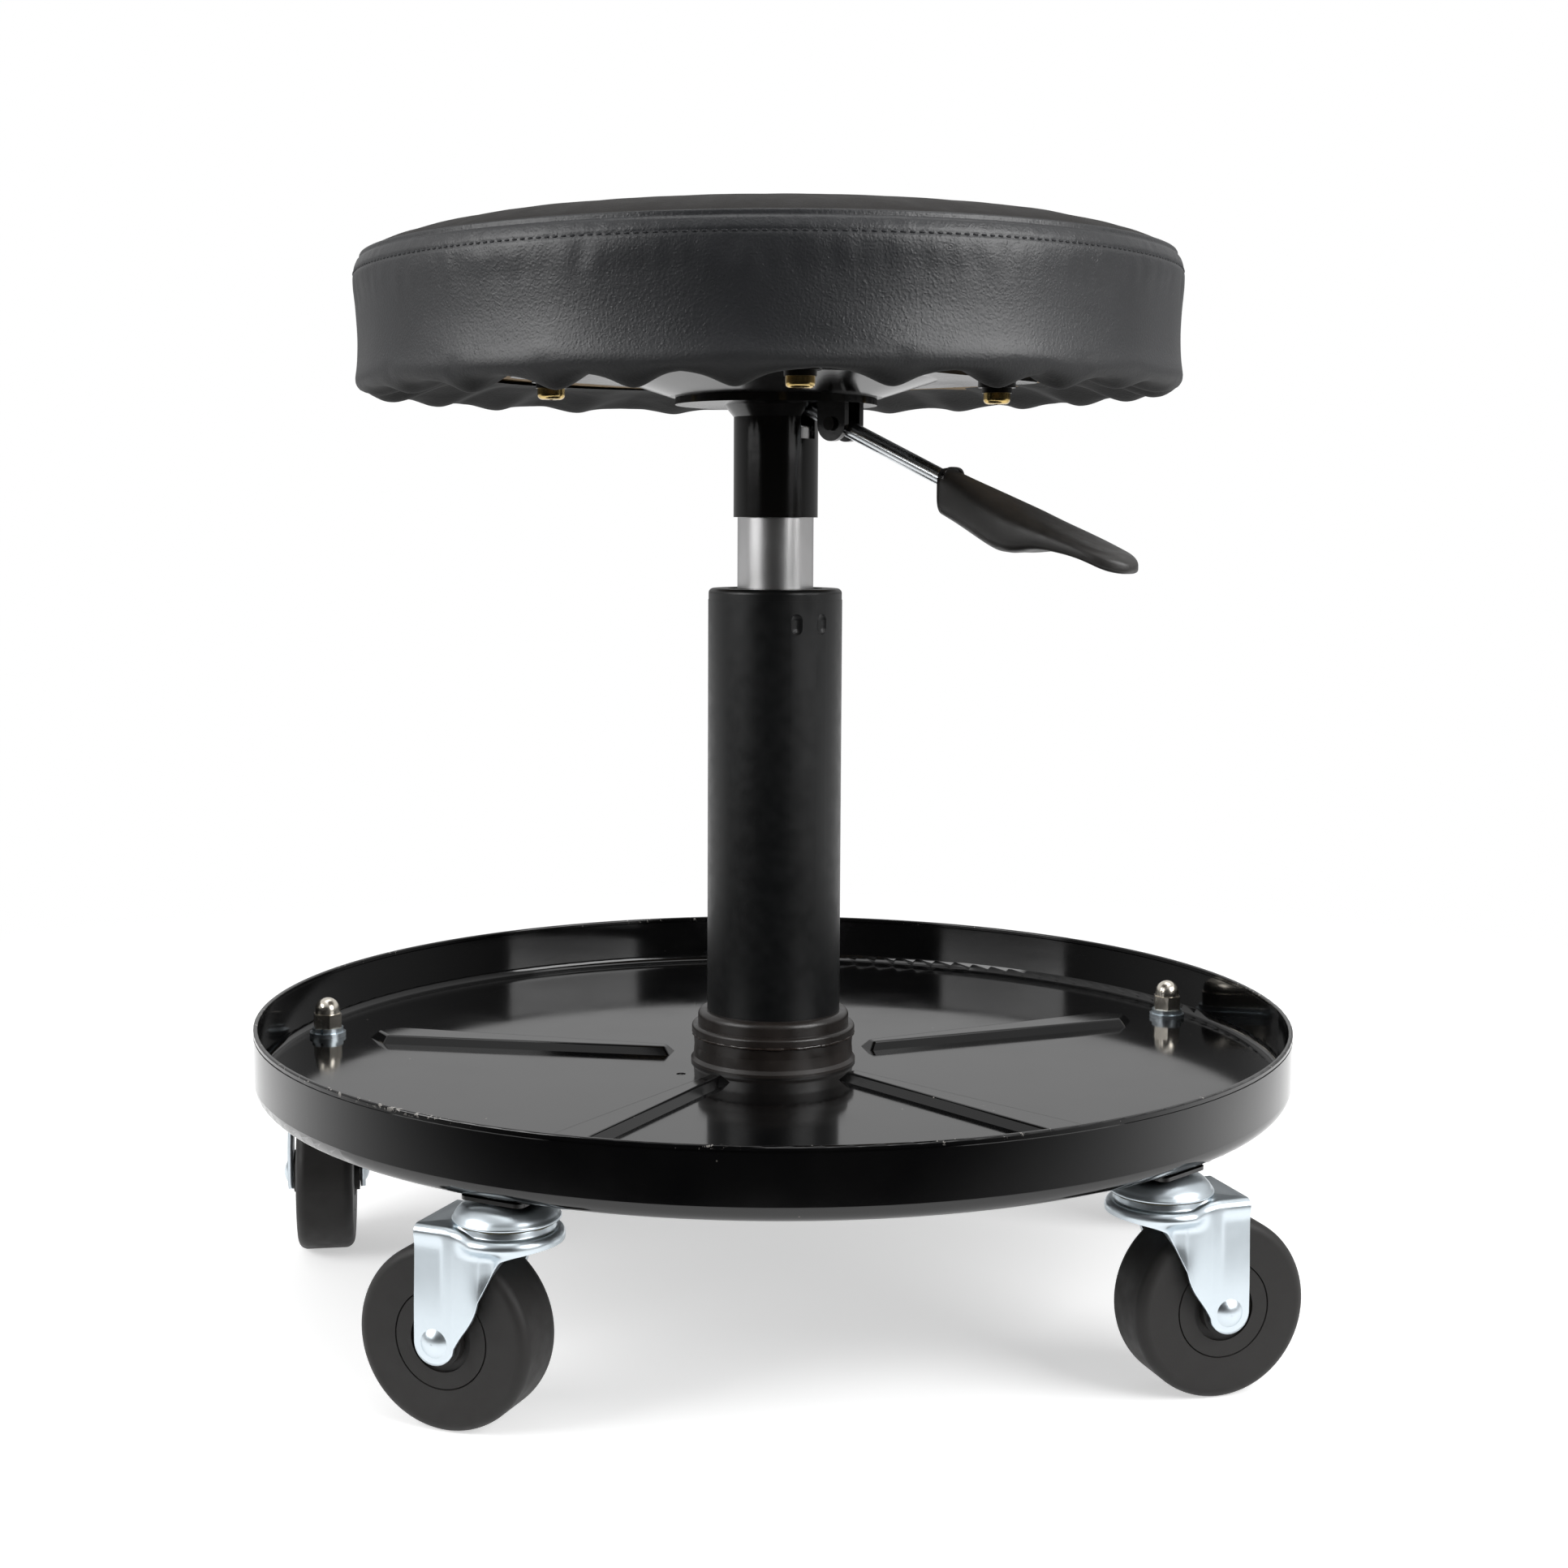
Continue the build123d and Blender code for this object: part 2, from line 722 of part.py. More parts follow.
# Seat plate: square sheet with a pressed dish, welded on the bracket disc
with BuildPart() as seat_plate:
    with BuildSketch(spoke_plane(lever_azimuth, seat_plate_z)) as plate_blank:
        RectangleRounded(seat_plate_side, seat_plate_side, seat_plate_corner_radius)
        Circle(dish_top_radius, mode=Mode.SUBTRACT)
        with PolarLocations(
            seat_bolt_circle_radius, seat_bolt_count, start_angle=first_seat_bolt_angle - lever_azimuth
        ):
            Circle(seat_bolt_radius + bolt_hole_clearance, mode=Mode.SUBTRACT)
    extrude(amount=seat_plate_sheet)
    with BuildSketch(Plane.XZ):
        with BuildLine():
            Polyline(
                (seat_plate_hole_radius, dish_under_z),
                (dish_floor_radius, dish_under_z),
                (dish_top_radius, seat_plate_z),
                (dish_top_radius, board_z),
                (dish_floor_radius, dish_under_z + seat_plate_sheet),
                (seat_plate_hole_radius, dish_under_z + seat_plate_sheet),
                close=True,
            )
        make_face()
    revolve(axis=Axis.Z)
finish(seat_plate.part, "seat_plate")

# Lever pin: a headed pin across the lugs
pin_length = 2 * (lug_inner_gap + lug_sheet) + pin_tail
with BuildPart() as lever_pin:
    with BuildSketch(lever_upright.offset(-lug_inner_gap - lug_sheet - pin_tail)):
        with Locations((pin_reach, pin_z)):
            Circle(pin_radius)
    extrude(amount=pin_length + body_gap)
    with BuildSketch(lever_upright.offset(lug_inner_gap + lug_sheet + body_gap)):
        with Locations((pin_reach, pin_z)):
            Circle(pin_head_radius)
    extrude(amount=pin_head_height)
finish(lever_pin.part, "lever_pin")

# Release lever: a round rod through the lugs, its inner tip over the valve button
slope = radians(lever_slope)
azimuth = radians(lever_azimuth)
rod_direction = Vector(
    cos(azimuth) * cos(slope), sin(azimuth) * cos(slope), -sin(slope)
)
lever_tip = lever_upright.from_local_coords(
    Vector(lever_tip_reach, pin_z + (pin_reach - lever_tip_reach) * tan(slope), 0)
)
lever_rod_plane = Plane(origin=lever_tip, z_dir=rod_direction)
with BuildPart() as lever_rod:
    with BuildSketch(lever_rod_plane):
        Circle(lever_rod_radius)
    extrude(amount=lever_rod_length)
    with BuildSketch(lever_upright):
        with Locations((pin_reach, pin_z)):
            Circle(pin_radius + running_clearance)
    extrude(amount=lever_rod_radius + cut_overrun, both=True, mode=Mode.SUBTRACT)
finish(lever_rod.part, "lever_rod")

# Lever grip: a flat paddle moulded on the rod's outer end, hollowed below for the fingers
grip_start_share = 0.647
grip_top_shares = [
    (0.034, 1.0), (0.224, 0.814), (0.465, 0.587), (0.701, 0.365), (0.913, 0.165), (1.0, 0.05),
]
grip_bottom_shares = [
    (0.954, 0.0), (0.765, 0.162), (0.615, 0.198), (0.477, 0.195), (0.407, 0.275), (0.194, 0.485),
    (0.0, grip_start_share),
]
grip_width_shares = [
    (0.0, 0.23), (0.12, 0.28), (0.28, 0.41), (0.43, 0.49), (0.565, 0.5), (0.69, 0.48), (0.85, 0.4),
    (1.0, 0.14),
]
grip_start_z = pin_z - (grip_start_reach - pin_reach) * tan(slope)
grip_low_z = grip_start_z - grip_start_drop - grip_start_share * grip_height


def grip_point(shares):
    """Place one point of the grip's side view from its two shares."""
    return (grip_start_reach + shares[0] * grip_length, grip_low_z + shares[1] * grip_height)


with BuildPart() as lever_grip:
    with BuildSketch(lever_upright):
        with BuildLine():
            grip_top = Spline(*[grip_point(shares) for shares in grip_top_shares])
            grip_bottom = Spline(*[grip_point(shares) for shares in grip_bottom_shares])
            Line(grip_top @ 1, grip_bottom @ 0)
            Line(grip_bottom @ 1, grip_top @ 0)
        make_face()
    extrude(amount=grip_width, both=True)
    with BuildSketch(spoke_plane(lever_azimuth, grip_low_z)):
        with BuildLine():
            left_points = [
                (grip_start_reach + along * grip_length, across * grip_width)
                for along, across in grip_width_shares
            ]
            grip_left = Spline(*left_points)
            grip_right = Spline(*[(along, -across) for along, across in reversed(left_points)])
            Line(grip_left @ 1, grip_right @ 0)
            Line(grip_right @ 1, grip_left @ 0)
        make_face()
    extrude(amount=grip_height, mode=Mode.INTERSECT)
    long_edges = lever_grip.edges().filter_by(lambda edge: edge.length > grip_length / 2)
    fillet(long_edges, grip_edge_radius)
    with BuildSketch(lever_rod_plane):
        Circle(lever_rod_radius + fixed_clearance)
    extrude(amount=lever_rod_length + fixed_clearance, mode=Mode.SUBTRACT)
finish(lever_grip.part, "lever_grip")

# Seat board: a plywood disc, drilled and sunk from above for the tee nuts
bolt_start_angle = first_seat_bolt_angle
with BuildPart() as seat_board:
    with BuildSketch(Plane.XY.offset(board_z)):
        Circle(board_radius)
        with PolarLocations(seat_bolt_circle_radius, seat_bolt_count, start_angle=bolt_start_angle):
            Circle(tee_nut_barrel_radius + fixed_clearance, mode=Mode.SUBTRACT)
    extrude(amount=board_thickness)
    with BuildSketch(Plane.XY.offset(board_top_z)):
        with PolarLocations(seat_bolt_circle_radius, seat_bolt_count, start_angle=bolt_start_angle):
            Circle(tee_nut_flange_radius + fixed_clearance)
    extrude(amount=-tee_nut_flange_thickness, mode=Mode.SUBTRACT)
    fillet(seat_board.edges().group_by(Axis.Z)[0].sort_by(SortBy.RADIUS)[-1], board_edge_radius)
finish(seat_board.part, "seat_board")

# Tee nuts: flanged barrels pressed flush into the board's top
with BuildPart() as tee_nuts:
    with BuildSketch(Plane.XY.offset(board_top_z)):
        with PolarLocations(seat_bolt_circle_radius, seat_bolt_count, start_angle=bolt_start_angle):
            Circle(tee_nut_flange_radius)
    extrude(amount=-tee_nut_flange_thickness)
    with BuildSketch(Plane.XY.offset(board_top_z - tee_nut_flange_thickness)):
        with PolarLocations(seat_bolt_circle_radius, seat_bolt_count, start_angle=bolt_start_angle):
            Circle(tee_nut_barrel_radius)
    extrude(amount=-tee_nut_barrel_length)
    with BuildSketch(Plane.XY.offset(board_top_z)):
        with PolarLocations(seat_bolt_circle_radius, seat_bolt_count, start_angle=bolt_start_angle):
            Circle(seat_bolt_radius + thread_clearance)
    extrude(amount=-tee_nut_flange_thickness - tee_nut_barrel_length, mode=Mode.SUBTRACT)
finish(tee_nuts.part, "tee_nuts")

# Seat bolts and their washers, driven up through the seat plate into the tee nuts
seat_spring_washer_z = seat_plate_z - seat_flat_washer_thickness - seat_spring_washer_thickness
seat_bolt_head_z = seat_spring_washer_z - seat_bolt_head_height
seat_bolt_end_z = board_top_z - tee_nut_flange_thickness
with BuildPart() as seat_bolts:
    with BuildSketch(Plane.XY.offset(seat_bolt_head_z)):
        with PolarLocations(seat_bolt_circle_radius, seat_bolt_count, start_angle=bolt_start_angle):
            Circle(seat_bolt_head_radius)
    extrude(amount=seat_bolt_head_height)
    fillet(seat_bolts.edges().group_by(Axis.Z)[0], seat_bolt_head_edge_radius)
    with BuildSketch(Plane.XY.offset(seat_spring_washer_z)):
        with PolarLocations(seat_bolt_circle_radius, seat_bolt_count, start_angle=bolt_start_angle):
            Circle(seat_bolt_radius)
    extrude(amount=seat_bolt_end_z - seat_spring_washer_z)
    with BuildSketch(Plane.XY.offset(seat_bolt_head_z)):
        with PolarLocations(seat_bolt_circle_radius, seat_bolt_count, start_angle=bolt_start_angle):
            Rectangle(cross_recess_length, cross_recess_width)
            Rectangle(cross_recess_width, cross_recess_length)
    extrude(amount=cross_recess_depth, mode=Mode.SUBTRACT)
finish(seat_bolts.part, "seat_bolts")

with BuildPart() as seat_spring_washers:
    with BuildSketch(Plane.XY.offset(seat_spring_washer_z)):
        with PolarLocations(seat_bolt_circle_radius, seat_bolt_count, start_angle=bolt_start_angle):
            Circle(seat_spring_washer_radius)
            Circle(seat_bolt_radius + fixed_clearance, mode=Mode.SUBTRACT)
            with Locations((0, seat_spring_washer_radius)):
                Rectangle(washer_split_width, 2 * seat_spring_washer_radius, mode=Mode.SUBTRACT)
    extrude(amount=seat_spring_washer_thickness)
finish(seat_spring_washers.part, "seat_spring_washers")

with BuildPart() as seat_flat_washers:
    with BuildSketch(Plane.XY.offset(seat_spring_washer_z + seat_spring_washer_thickness)):
        with PolarLocations(seat_bolt_circle_radius, seat_bolt_count, start_angle=bolt_start_angle):
            Circle(seat_flat_washer_radius)
            Circle(seat_bolt_radius + fixed_clearance, mode=Mode.SUBTRACT)
    extrude(amount=seat_flat_washer_thickness)
finish(seat_flat_washers.part, "seat_flat_washers")

# Cushion: one turned outline serves the cover's outside, the cover's inside and the foam
# Shares of the seat's radius, of the side's height above the board, and of the roll's width and depth
crown_radius_shares = [0.0, 0.2, 0.4, 0.6, 0.75, 0.86, 0.93, 0.97, 0.99, 0.998, 1.0]
side_bulge_share = 0.6
side_waist_share = 0.43
side_foot_share = 0.09
roll_shares = [(0.08, 0.42), (0.22, 0.18), (0.5, 0.0), (0.88, 0.4)]
crown_edge_power = 3.95
crown_round_power = 0.443
seat_side_z = seat_top_z - crown_fall
seat_side_height = seat_side_z - board_z
roll_bottom_z = board_z - seat_roll_depth


def crown_z(share):
    """Height of the crown at a share of the seat's radius: a dished top that rounds down at its rim."""
    top = seat_top_z - crown_dip * share**2
    return seat_side_z + (top - seat_side_z) * (1 - share**crown_edge_power) ** crown_round_power


def cushion_outline(inset):
    """Draw half of the cushion's section, drawn in by an inset, and close it along the board."""
    outer = seat_radius - inset
    hem = seat_roll_inner_radius + inset
    low = roll_bottom_z + inset
    crown = Spline(
        *[(outer * share, crown_z(share) - inset) for share in crown_radius_shares],
        tangents=[(1, 0), (0, -1)],
    )
    side = Spline(
        crown @ 1,
        (outer, board_z + side_bulge_share * seat_side_height),
        (outer - seat_waist_depth, board_z + side_waist_share * seat_side_height),
        (outer, board_z + side_foot_share * seat_side_height),
        *[
            (outer - across * (outer - hem), low + up * (board_z - low))
            for across, up in roll_shares
        ],
        (hem, board_z),
        tangents=[(0, -1), (0, 1)],
    )
    Line(side @ 1, (0, board_z))
    Line((0, board_z), crown @ 0)


with BuildPart() as seat_cover:
    with BuildSketch(Plane.XZ):
        with BuildLine():
            cushion_outline(0)
        make_face()
    revolve(axis=Axis.Z)
    with BuildSketch(Plane.XZ):
        with BuildLine():
            cushion_outline(seat_cover_sheet)
        make_face()
    revolve(axis=Axis.Z, mode=Mode.SUBTRACT)
    with BuildSketch(Plane.XY.offset(board_z)):
        Circle(seat_roll_inner_radius + seat_cover_sheet)
        Circle(seat_roll_inner_radius - seat_hem_width, mode=Mode.SUBTRACT)
    extrude(amount=-seat_cover_sheet)
finish(seat_cover.part, "seat_cover")

with BuildPart() as seat_foam:
    with BuildSketch(Plane.XZ):
        with BuildLine():
            cushion_outline(seat_cover_sheet + soft_clearance)
        make_face()
    revolve(axis=Axis.Z)
    with BuildSketch(Plane.XY.offset(board_z)):
        Circle(board_radius + soft_clearance)
    extrude(amount=board_thickness + soft_clearance, mode=Mode.SUBTRACT)
finish(seat_foam.part, "seat_foam")

# Reinforcement plates: square sheets under the tray with a raised pad round each stem
plate_reach = tray_radius - plate_edge_inset - plate_side / 2
plate_pad_radius = foot_inner_radius - caster_circle_radius - plate_pad_gap
with BuildPart() as reinforcement_plates:
    with BuildSketch(Plane.XY.offset(caster_top_z)):
        with Locations(*stem_places(plate_reach)):
            RectangleRounded(plate_side, plate_side, plate_corner_radius)
    extrude(amount=plate_sheet)
    with BuildSketch(Plane.XY.offset(foot_z)):
        with Locations(*stem_places(caster_circle_radius)):
            Circle(plate_pad_radius)
    extrude(amount=tray_foot_drop)
    with BuildSketch(Plane.XY.offset(caster_top_z)):
        with Locations(*stem_places(caster_circle_radius)):
            Circle(caster_bolt_hole_radius)
    extrude(amount=plate_sheet + tray_foot_drop, mode=Mode.SUBTRACT)
finish(reinforcement_plates.part, "reinforcement_plates")

# Flat washers, split spring washers and acorn nuts on the caster stems inside the tray
with BuildPart() as stem_washers:
    with BuildSketch(Plane.XY.offset(floor_z)):
        with Locations(*stem_places(caster_circle_radius)):
            Circle(flat_washer_radius)
            Circle(stem_thread_radius + fixed_clearance, mode=Mode.SUBTRACT)
    extrude(amount=flat_washer_thickness)
finish(stem_washers.part, "stem_washers")

with BuildPart() as spring_washers:
    with BuildSketch(Plane.XY.offset(spring_washer_z)):
        with Locations(*stem_places(caster_circle_radius)):
            Circle(spring_washer_radius)
            Circle(stem_thread_radius + fixed_clearance, mode=Mode.SUBTRACT)
            with Locations((0, spring_washer_radius)):
                Rectangle(washer_split_width, 2 * spring_washer_radius, mode=Mode.SUBTRACT)
    extrude(amount=spring_washer_thickness)
finish(spring_washers.part, "spring_washers")

nut_dome_z = nut_z + nut_hex_height + nut_dome_rise
stem_top_z = nut_dome_z + nut_dome_radius - nut_roof_thickness
with BuildPart(Plane.XY.offset(nut_z)) as acorn_nuts:
    with BuildSketch(Plane.XY.offset(nut_z)):
        with Locations(*stem_places(caster_circle_radius)):
            RegularPolygon(nut_across_flats / 2, side_count=6, major_radius=False)
    extrude(amount=nut_hex_height)
    with BuildSketch(Plane.XY.offset(nut_z + nut_hex_height)):
        with Locations(*stem_places(caster_circle_radius)):
            Circle(nut_dome_radius)
    extrude(amount=nut_dome_rise)
    with Locations(*stem_places(caster_circle_radius)):
        with Locations((0, 0, nut_hex_height + nut_dome_rise)):
            Sphere(nut_dome_radius)
    with BuildSketch(Plane.XY.offset(nut_z)):
        with Locations(*stem_places(caster_circle_radius)):
            Circle(stem_thread_radius + thread_clearance)
    extrude(amount=stem_top_z - nut_z, mode=Mode.SUBTRACT)
finish(acorn_nuts.part, "acorn_nuts")

# Caster cups: turned covers fixed on the stems, each with a ball groove in its underside
cup_bore_radius = stem_shaft_radius + fixed_clearance
ball_groove_radius = caster_ball_radius + groove_clearance
with BuildPart() as caster_cup:
    with BuildSketch(Plane.XZ):
        with BuildLine():
            Polyline(
                (cup_neck_radius, caster_top_z),
                (cup_bore_radius, caster_top_z),
                (cup_bore_radius, cup_inner_z),
                (cup_rim_radius - cup_lip_width, cup_inner_z),
                (cup_rim_radius - cup_lip_width, cup_rim_z),
                (cup_rim_radius, cup_rim_z),
                (cup_rim_radius, cup_rim_z + cup_rim_height),
            )
            cup_shoulder_z = caster_top_z - cup_neck_height
            Spline(
                (cup_rim_radius, cup_rim_z + cup_rim_height),
                (cup_neck_radius, cup_shoulder_z),
                tangents=[(0, 1), (-1, 0)],
            )
            Line((cup_neck_radius, cup_shoulder_z), (cup_neck_radius, caster_top_z))
        make_face()
    revolve(axis=Axis.Z)
    with Locations((0, 0, caster_ball_z)):
        Torus(caster_ball_circle_radius, ball_groove_radius, mode=Mode.SUBTRACT)

with BuildPart() as caster_cups:
    with Locations(*caster_locations):
        add(caster_cup.part)
finish(caster_cups.part, "caster_cups")

with BuildPart() as caster_balls:
    with Locations(*caster_locations):
        with Locations((0, 0, caster_ball_z)):
            with PolarLocations(caster_ball_circle_radius, caster_ball_count):
                Sphere(caster_ball_radius)
finish(caster_balls.part, "caster_balls")

# Caster stems: kingpins with a head below the crown, a shoulder at the plate and a thread above
stem_head_z = crown_under_z - body_gap
with BuildPart() as caster_stem:
    with BuildSketch(Plane.XZ):
        with BuildLine():
            Polyline(
                (0, stem_head_z - stem_head_height),
                (stem_head_radius, stem_head_z - stem_head_height),
                (stem_head_radius, stem_head_z),
                (stem_shaft_radius, stem_head_z),
                (stem_shaft_radius, caster_top_z),
                (stem_thread_radius, caster_top_z),
                (stem_thread_radius, stem_top_z - body_gap),
                (0, stem_top_z - body_gap),
                close=True,
            )
        make_face()
    revolve(axis=Axis.Z)

with BuildPart() as caster_stems:
    with Locations(*caster_locations):
        add(caster_stem.part)
finish(caster_stems.part, "caster_stems")

# Caster fork: sheet bent over the wheel into two tapering legs, with a round crown and a ball ring
axle_axis = Axis((caster_trail, 0, axle_z), (0, 1, 0))
leg_back_z = crown_under_z - leg_back_drop
leg_span = hypot(caster_trail + leg_back_reach, leg_back_z - axle_z)
leg_bearing = pi - atan2(leg_back_z - axle_z, caster_trail + leg_back_reach)
leg_touch_angle = leg_bearing + acos(leg_end_radius / leg_span)
with BuildPart() as caster_fork:
    with BuildSketch(Plane.XZ):
        with BuildLine():
            leg_front = Line((crown_reach, crown_top_z), (crown_reach, axle_z))
            leg_end = ThreePointArc(
                leg_front @ 1,
                (caster_trail, axle_z - leg_end_radius),
                (
                    caster_trail + leg_end_radius * cos(leg_touch_angle),
                    axle_z + leg_end_radius * sin(leg_touch_angle),
                ),
            )
            Polyline(
                leg_end @ 1,
                (-leg_back_reach, leg_back_z),
                (-leg_back_reach, crown_top_z),
                leg_front @ 0,
            )
        make_face()
    extrude(amount=fork_outer_width / 2, both=True)
    fillet(caster_fork.edges().filter_by(Axis.X).group_by(Axis.Z)[-1], fork_bend_radius)
    with BuildPart(mode=Mode.SUBTRACT) as wheel_room:
        with BuildSketch(Plane.XZ):
            with Locations(((crown_reach - leg_back_reach) / 2, crown_under_z / 2)):
                Rectangle(crown_reach + leg_back_reach + cut_overrun, crown_under_z)
        extrude(amount=fork_inner_width / 2, both=True)
        fillet(
            wheel_room.edges().filter_by(Axis.X).group_by(Axis.Z)[-1],
            fork_bend_radius - fork_sheet,
        )
    with BuildPart() as crown_disc:
        with BuildSketch(Plane.XY.offset(crown_under_z)):
            Circle(crown_radius)
        extrude(amount=fork_sheet)
        fillet(crown_disc.edges().group_by(Axis.Z)[-1], crown_edge_radius)
    with BuildSketch(Plane.XZ) as ring_section:
        with BuildLine():
            Polyline(
                (crown_ring_inner_radius, crown_under_z),
                (crown_radius, crown_under_z),
                (crown_radius, crown_ring_z),
                (crown_ring_inner_radius, crown_ring_z),
                close=True,
            )
        make_face()
        fillet(ring_section.vertices().group_by(Axis.Y)[-1], crown_ring_edge_radius)
    revolve(axis=Axis.Z)
    with BuildSketch(Plane.XZ.offset(fork_outer_width / 2)):
        rib_top_front = crown_reach - leg_rib_front_inset
        rib_top_z = crown_under_z - leg_rib_top_drop
        with BuildLine():
            Polyline(
                (rib_top_front - leg_rib_top_width, rib_top_z),
                (rib_top_front, rib_top_z),
                (caster_trail + leg_rib_foot_width / 2, axle_z + leg_rib_foot_rise),
                (caster_trail - leg_rib_foot_width / 2, axle_z + leg_rib_foot_rise),
                close=True,
            )
        make_face()
    extrude(amount=leg_rib_height, taper=leg_rib_taper_angle)
    mirror(about=Plane.XZ)
    with Locations((0, 0, caster_ball_z)):
        Torus(caster_ball_circle_radius, ball_groove_radius, mode=Mode.SUBTRACT)
    with BuildSketch(Plane.XY.offset(crown_under_z)):
        Circle(stem_shaft_radius + running_clearance)
    extrude(amount=fork_sheet, mode=Mode.SUBTRACT)
    with BuildSketch(Plane.XZ):
        with Locations((caster_trail, axle_z)):
            Circle(axle_radius + fixed_clearance)
    extrude(amount=fork_outer_width / 2 + cut_overrun, both=True, mode=Mode.SUBTRACT)

# Caster axle: a rivet through the legs with a domed head on each side
head_curve_radius = (axle_head_radius**2 + axle_head_height**2) / (2 * axle_head_height)
with BuildPart() as caster_axle:
    with BuildSketch(Plane.XY.offset(axle_z)):
        half_width = fork_outer_width / 2
        with BuildLine():
            Line((caster_trail, -half_width - axle_head_height), (caster_trail, half_width + axle_head_height))
            RadiusArc(
                (caster_trail, half_width + axle_head_height),
                (caster_trail + axle_head_radius, half_width),
                head_curve_radius,
            )
            Polyline(
                (caster_trail + axle_head_radius, half_width),
                (caster_trail + axle_radius, half_width),
                (caster_trail + axle_radius, -half_width),
                (caster_trail + axle_head_radius, -half_width),
            )
            RadiusArc(
                (caster_trail + axle_head_radius, -half_width),
                (caster_trail, -half_width - axle_head_height),
                head_curve_radius,
            )
        make_face()
    revolve(axis=axle_axis)

# Axle bush: a tube clamped between the legs that the wheel turns on
with BuildPart() as caster_bush:
    with BuildSketch(Plane.XZ):
        with Locations((caster_trail, axle_z)):
            Circle(axle_bush_radius)
            Circle(axle_radius + fixed_clearance, mode=Mode.SUBTRACT)
    extrude(amount=fork_inner_width / 2, both=True)

# Caster wheel: a barrel with rounded shoulders, a moulded seam on each face and a long hub
with BuildPart() as caster_wheel:
    with BuildSketch(Plane.XY.offset(axle_z)) as wheel_section:
        hub_half = fork_inner_width / 2 - body_gap
        face_half = wheel_width / 2
        seam_inner = wheel_seam_radius - wheel_seam_width / 2
        seam_outer = wheel_seam_radius + wheel_seam_width / 2
        near_half = [
            (axle_bush_radius + running_clearance, hub_half),
            (wheel_hub_radius, hub_half),
            (wheel_hub_radius, face_half - wheel_recess_depth),
            (wheel_recess_radius, face_half - wheel_recess_depth),
            (wheel_recess_radius, face_half),
            (seam_inner, face_half),
            (wheel_seam_radius, face_half - wheel_seam_width),
            (seam_outer, face_half),
            (wheel_radius, face_half),
        ]
        far_half = [(reach, -side) for reach, side in reversed(near_half)]
        with BuildLine():
            Polyline(*[(caster_trail + reach, side) for reach, side in near_half + far_half], close=True)
        make_face()
        fillet(wheel_section.vertices().group_by(Axis.X)[-1], wheel_corner_radius)
    revolve(axis=axle_axis)

# Five casters, each set by its own swivel place and heading
for number, name in enumerate(caster_names):
    finish(caster_fork.part.moved(caster_locations[number]), f"caster_fork_{name}")
    finish(caster_axle.part.moved(caster_locations[number]), f"caster_axle_{name}")
    finish(caster_bush.part.moved(caster_locations[number]), f"caster_bush_{name}")
    finish(caster_wheel.part.moved(caster_locations[number]), f"caster_wheel_{name}")
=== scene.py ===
import math

import bmesh
import bpy
import numpy as np
from mathutils import Matrix, Vector


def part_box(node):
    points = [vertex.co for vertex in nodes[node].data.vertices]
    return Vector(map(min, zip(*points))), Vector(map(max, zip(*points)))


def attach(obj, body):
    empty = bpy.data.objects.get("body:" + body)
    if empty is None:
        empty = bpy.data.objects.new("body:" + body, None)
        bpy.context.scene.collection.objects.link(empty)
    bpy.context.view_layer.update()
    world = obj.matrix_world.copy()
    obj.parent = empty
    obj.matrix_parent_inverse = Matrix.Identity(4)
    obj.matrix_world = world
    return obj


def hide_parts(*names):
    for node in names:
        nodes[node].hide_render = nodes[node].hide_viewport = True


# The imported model: every CAD node on its body, in metres
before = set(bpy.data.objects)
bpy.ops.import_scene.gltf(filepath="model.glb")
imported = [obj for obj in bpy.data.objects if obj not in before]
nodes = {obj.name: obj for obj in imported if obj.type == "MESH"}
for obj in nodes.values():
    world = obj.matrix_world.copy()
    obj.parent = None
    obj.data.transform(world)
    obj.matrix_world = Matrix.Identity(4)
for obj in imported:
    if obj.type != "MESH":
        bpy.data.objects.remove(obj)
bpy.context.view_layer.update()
scene = bpy.context.scene
mm = 0.001

# Camera: stands a little above the column's middle and looks slightly down, as the photographer did
# Its place, in mm, and its angles were fitted to the tray's rim, the nuts and the wheels' feet
picture_side = 1932
focal_pixels = 2734.0
axis_pixel = (956.5, 880.0)
eye = Vector((16.40, -819.7, 277.84)) * mm
pitch = math.radians(4.884)
yaw = -0.01926
roll = 0.00487
ahead = Vector((math.sin(yaw) * math.cos(pitch), math.cos(yaw) * math.cos(pitch), -math.sin(pitch)))
level_right = Vector((math.cos(yaw), -math.sin(yaw), 0))
level_up = level_right.cross(ahead)
right = level_right * math.cos(roll) + level_up * math.sin(roll)
up = level_up * math.cos(roll) - level_right * math.sin(roll)
camera = bpy.data.objects.new("camera", bpy.data.cameras.new("camera"))
scene.collection.objects.link(camera)
camera.matrix_world = Matrix(
    [(right[k], up[k], -ahead[k], eye[k]) for k in range(3)] + [(0, 0, 0, 1)]
)
sensor_width = 36
camera.data.sensor_width = sensor_width
camera.data.lens = sensor_width * focal_pixels / picture_side
camera.data.shift_x = 0.5 - axis_pixel[0] / picture_side
camera.data.shift_y = axis_pixel[1] / picture_side - 0.5
camera.data.clip_start = 0.05
camera.data.clip_end = 50
scene.camera = camera
scene.view_settings.view_transform = "Standard"


# Studio: a pale floor that fades to white, a white room behind, a dark one in front, and three soft lamps
# The camera sees white all round; only rays that leave the object meet the dark side of the room
def linear(hex_colour):
    """Turns a written sRGB colour into the linear one that shaders use."""
    parts = [int(hex_colour[k : k + 2], 16) / 255 for k in (1, 3, 5)]
    return tuple(c / 12.92 if c <= 0.04045 else ((c + 0.055) / 1.055) ** 2.4 for c in parts) + (1,)


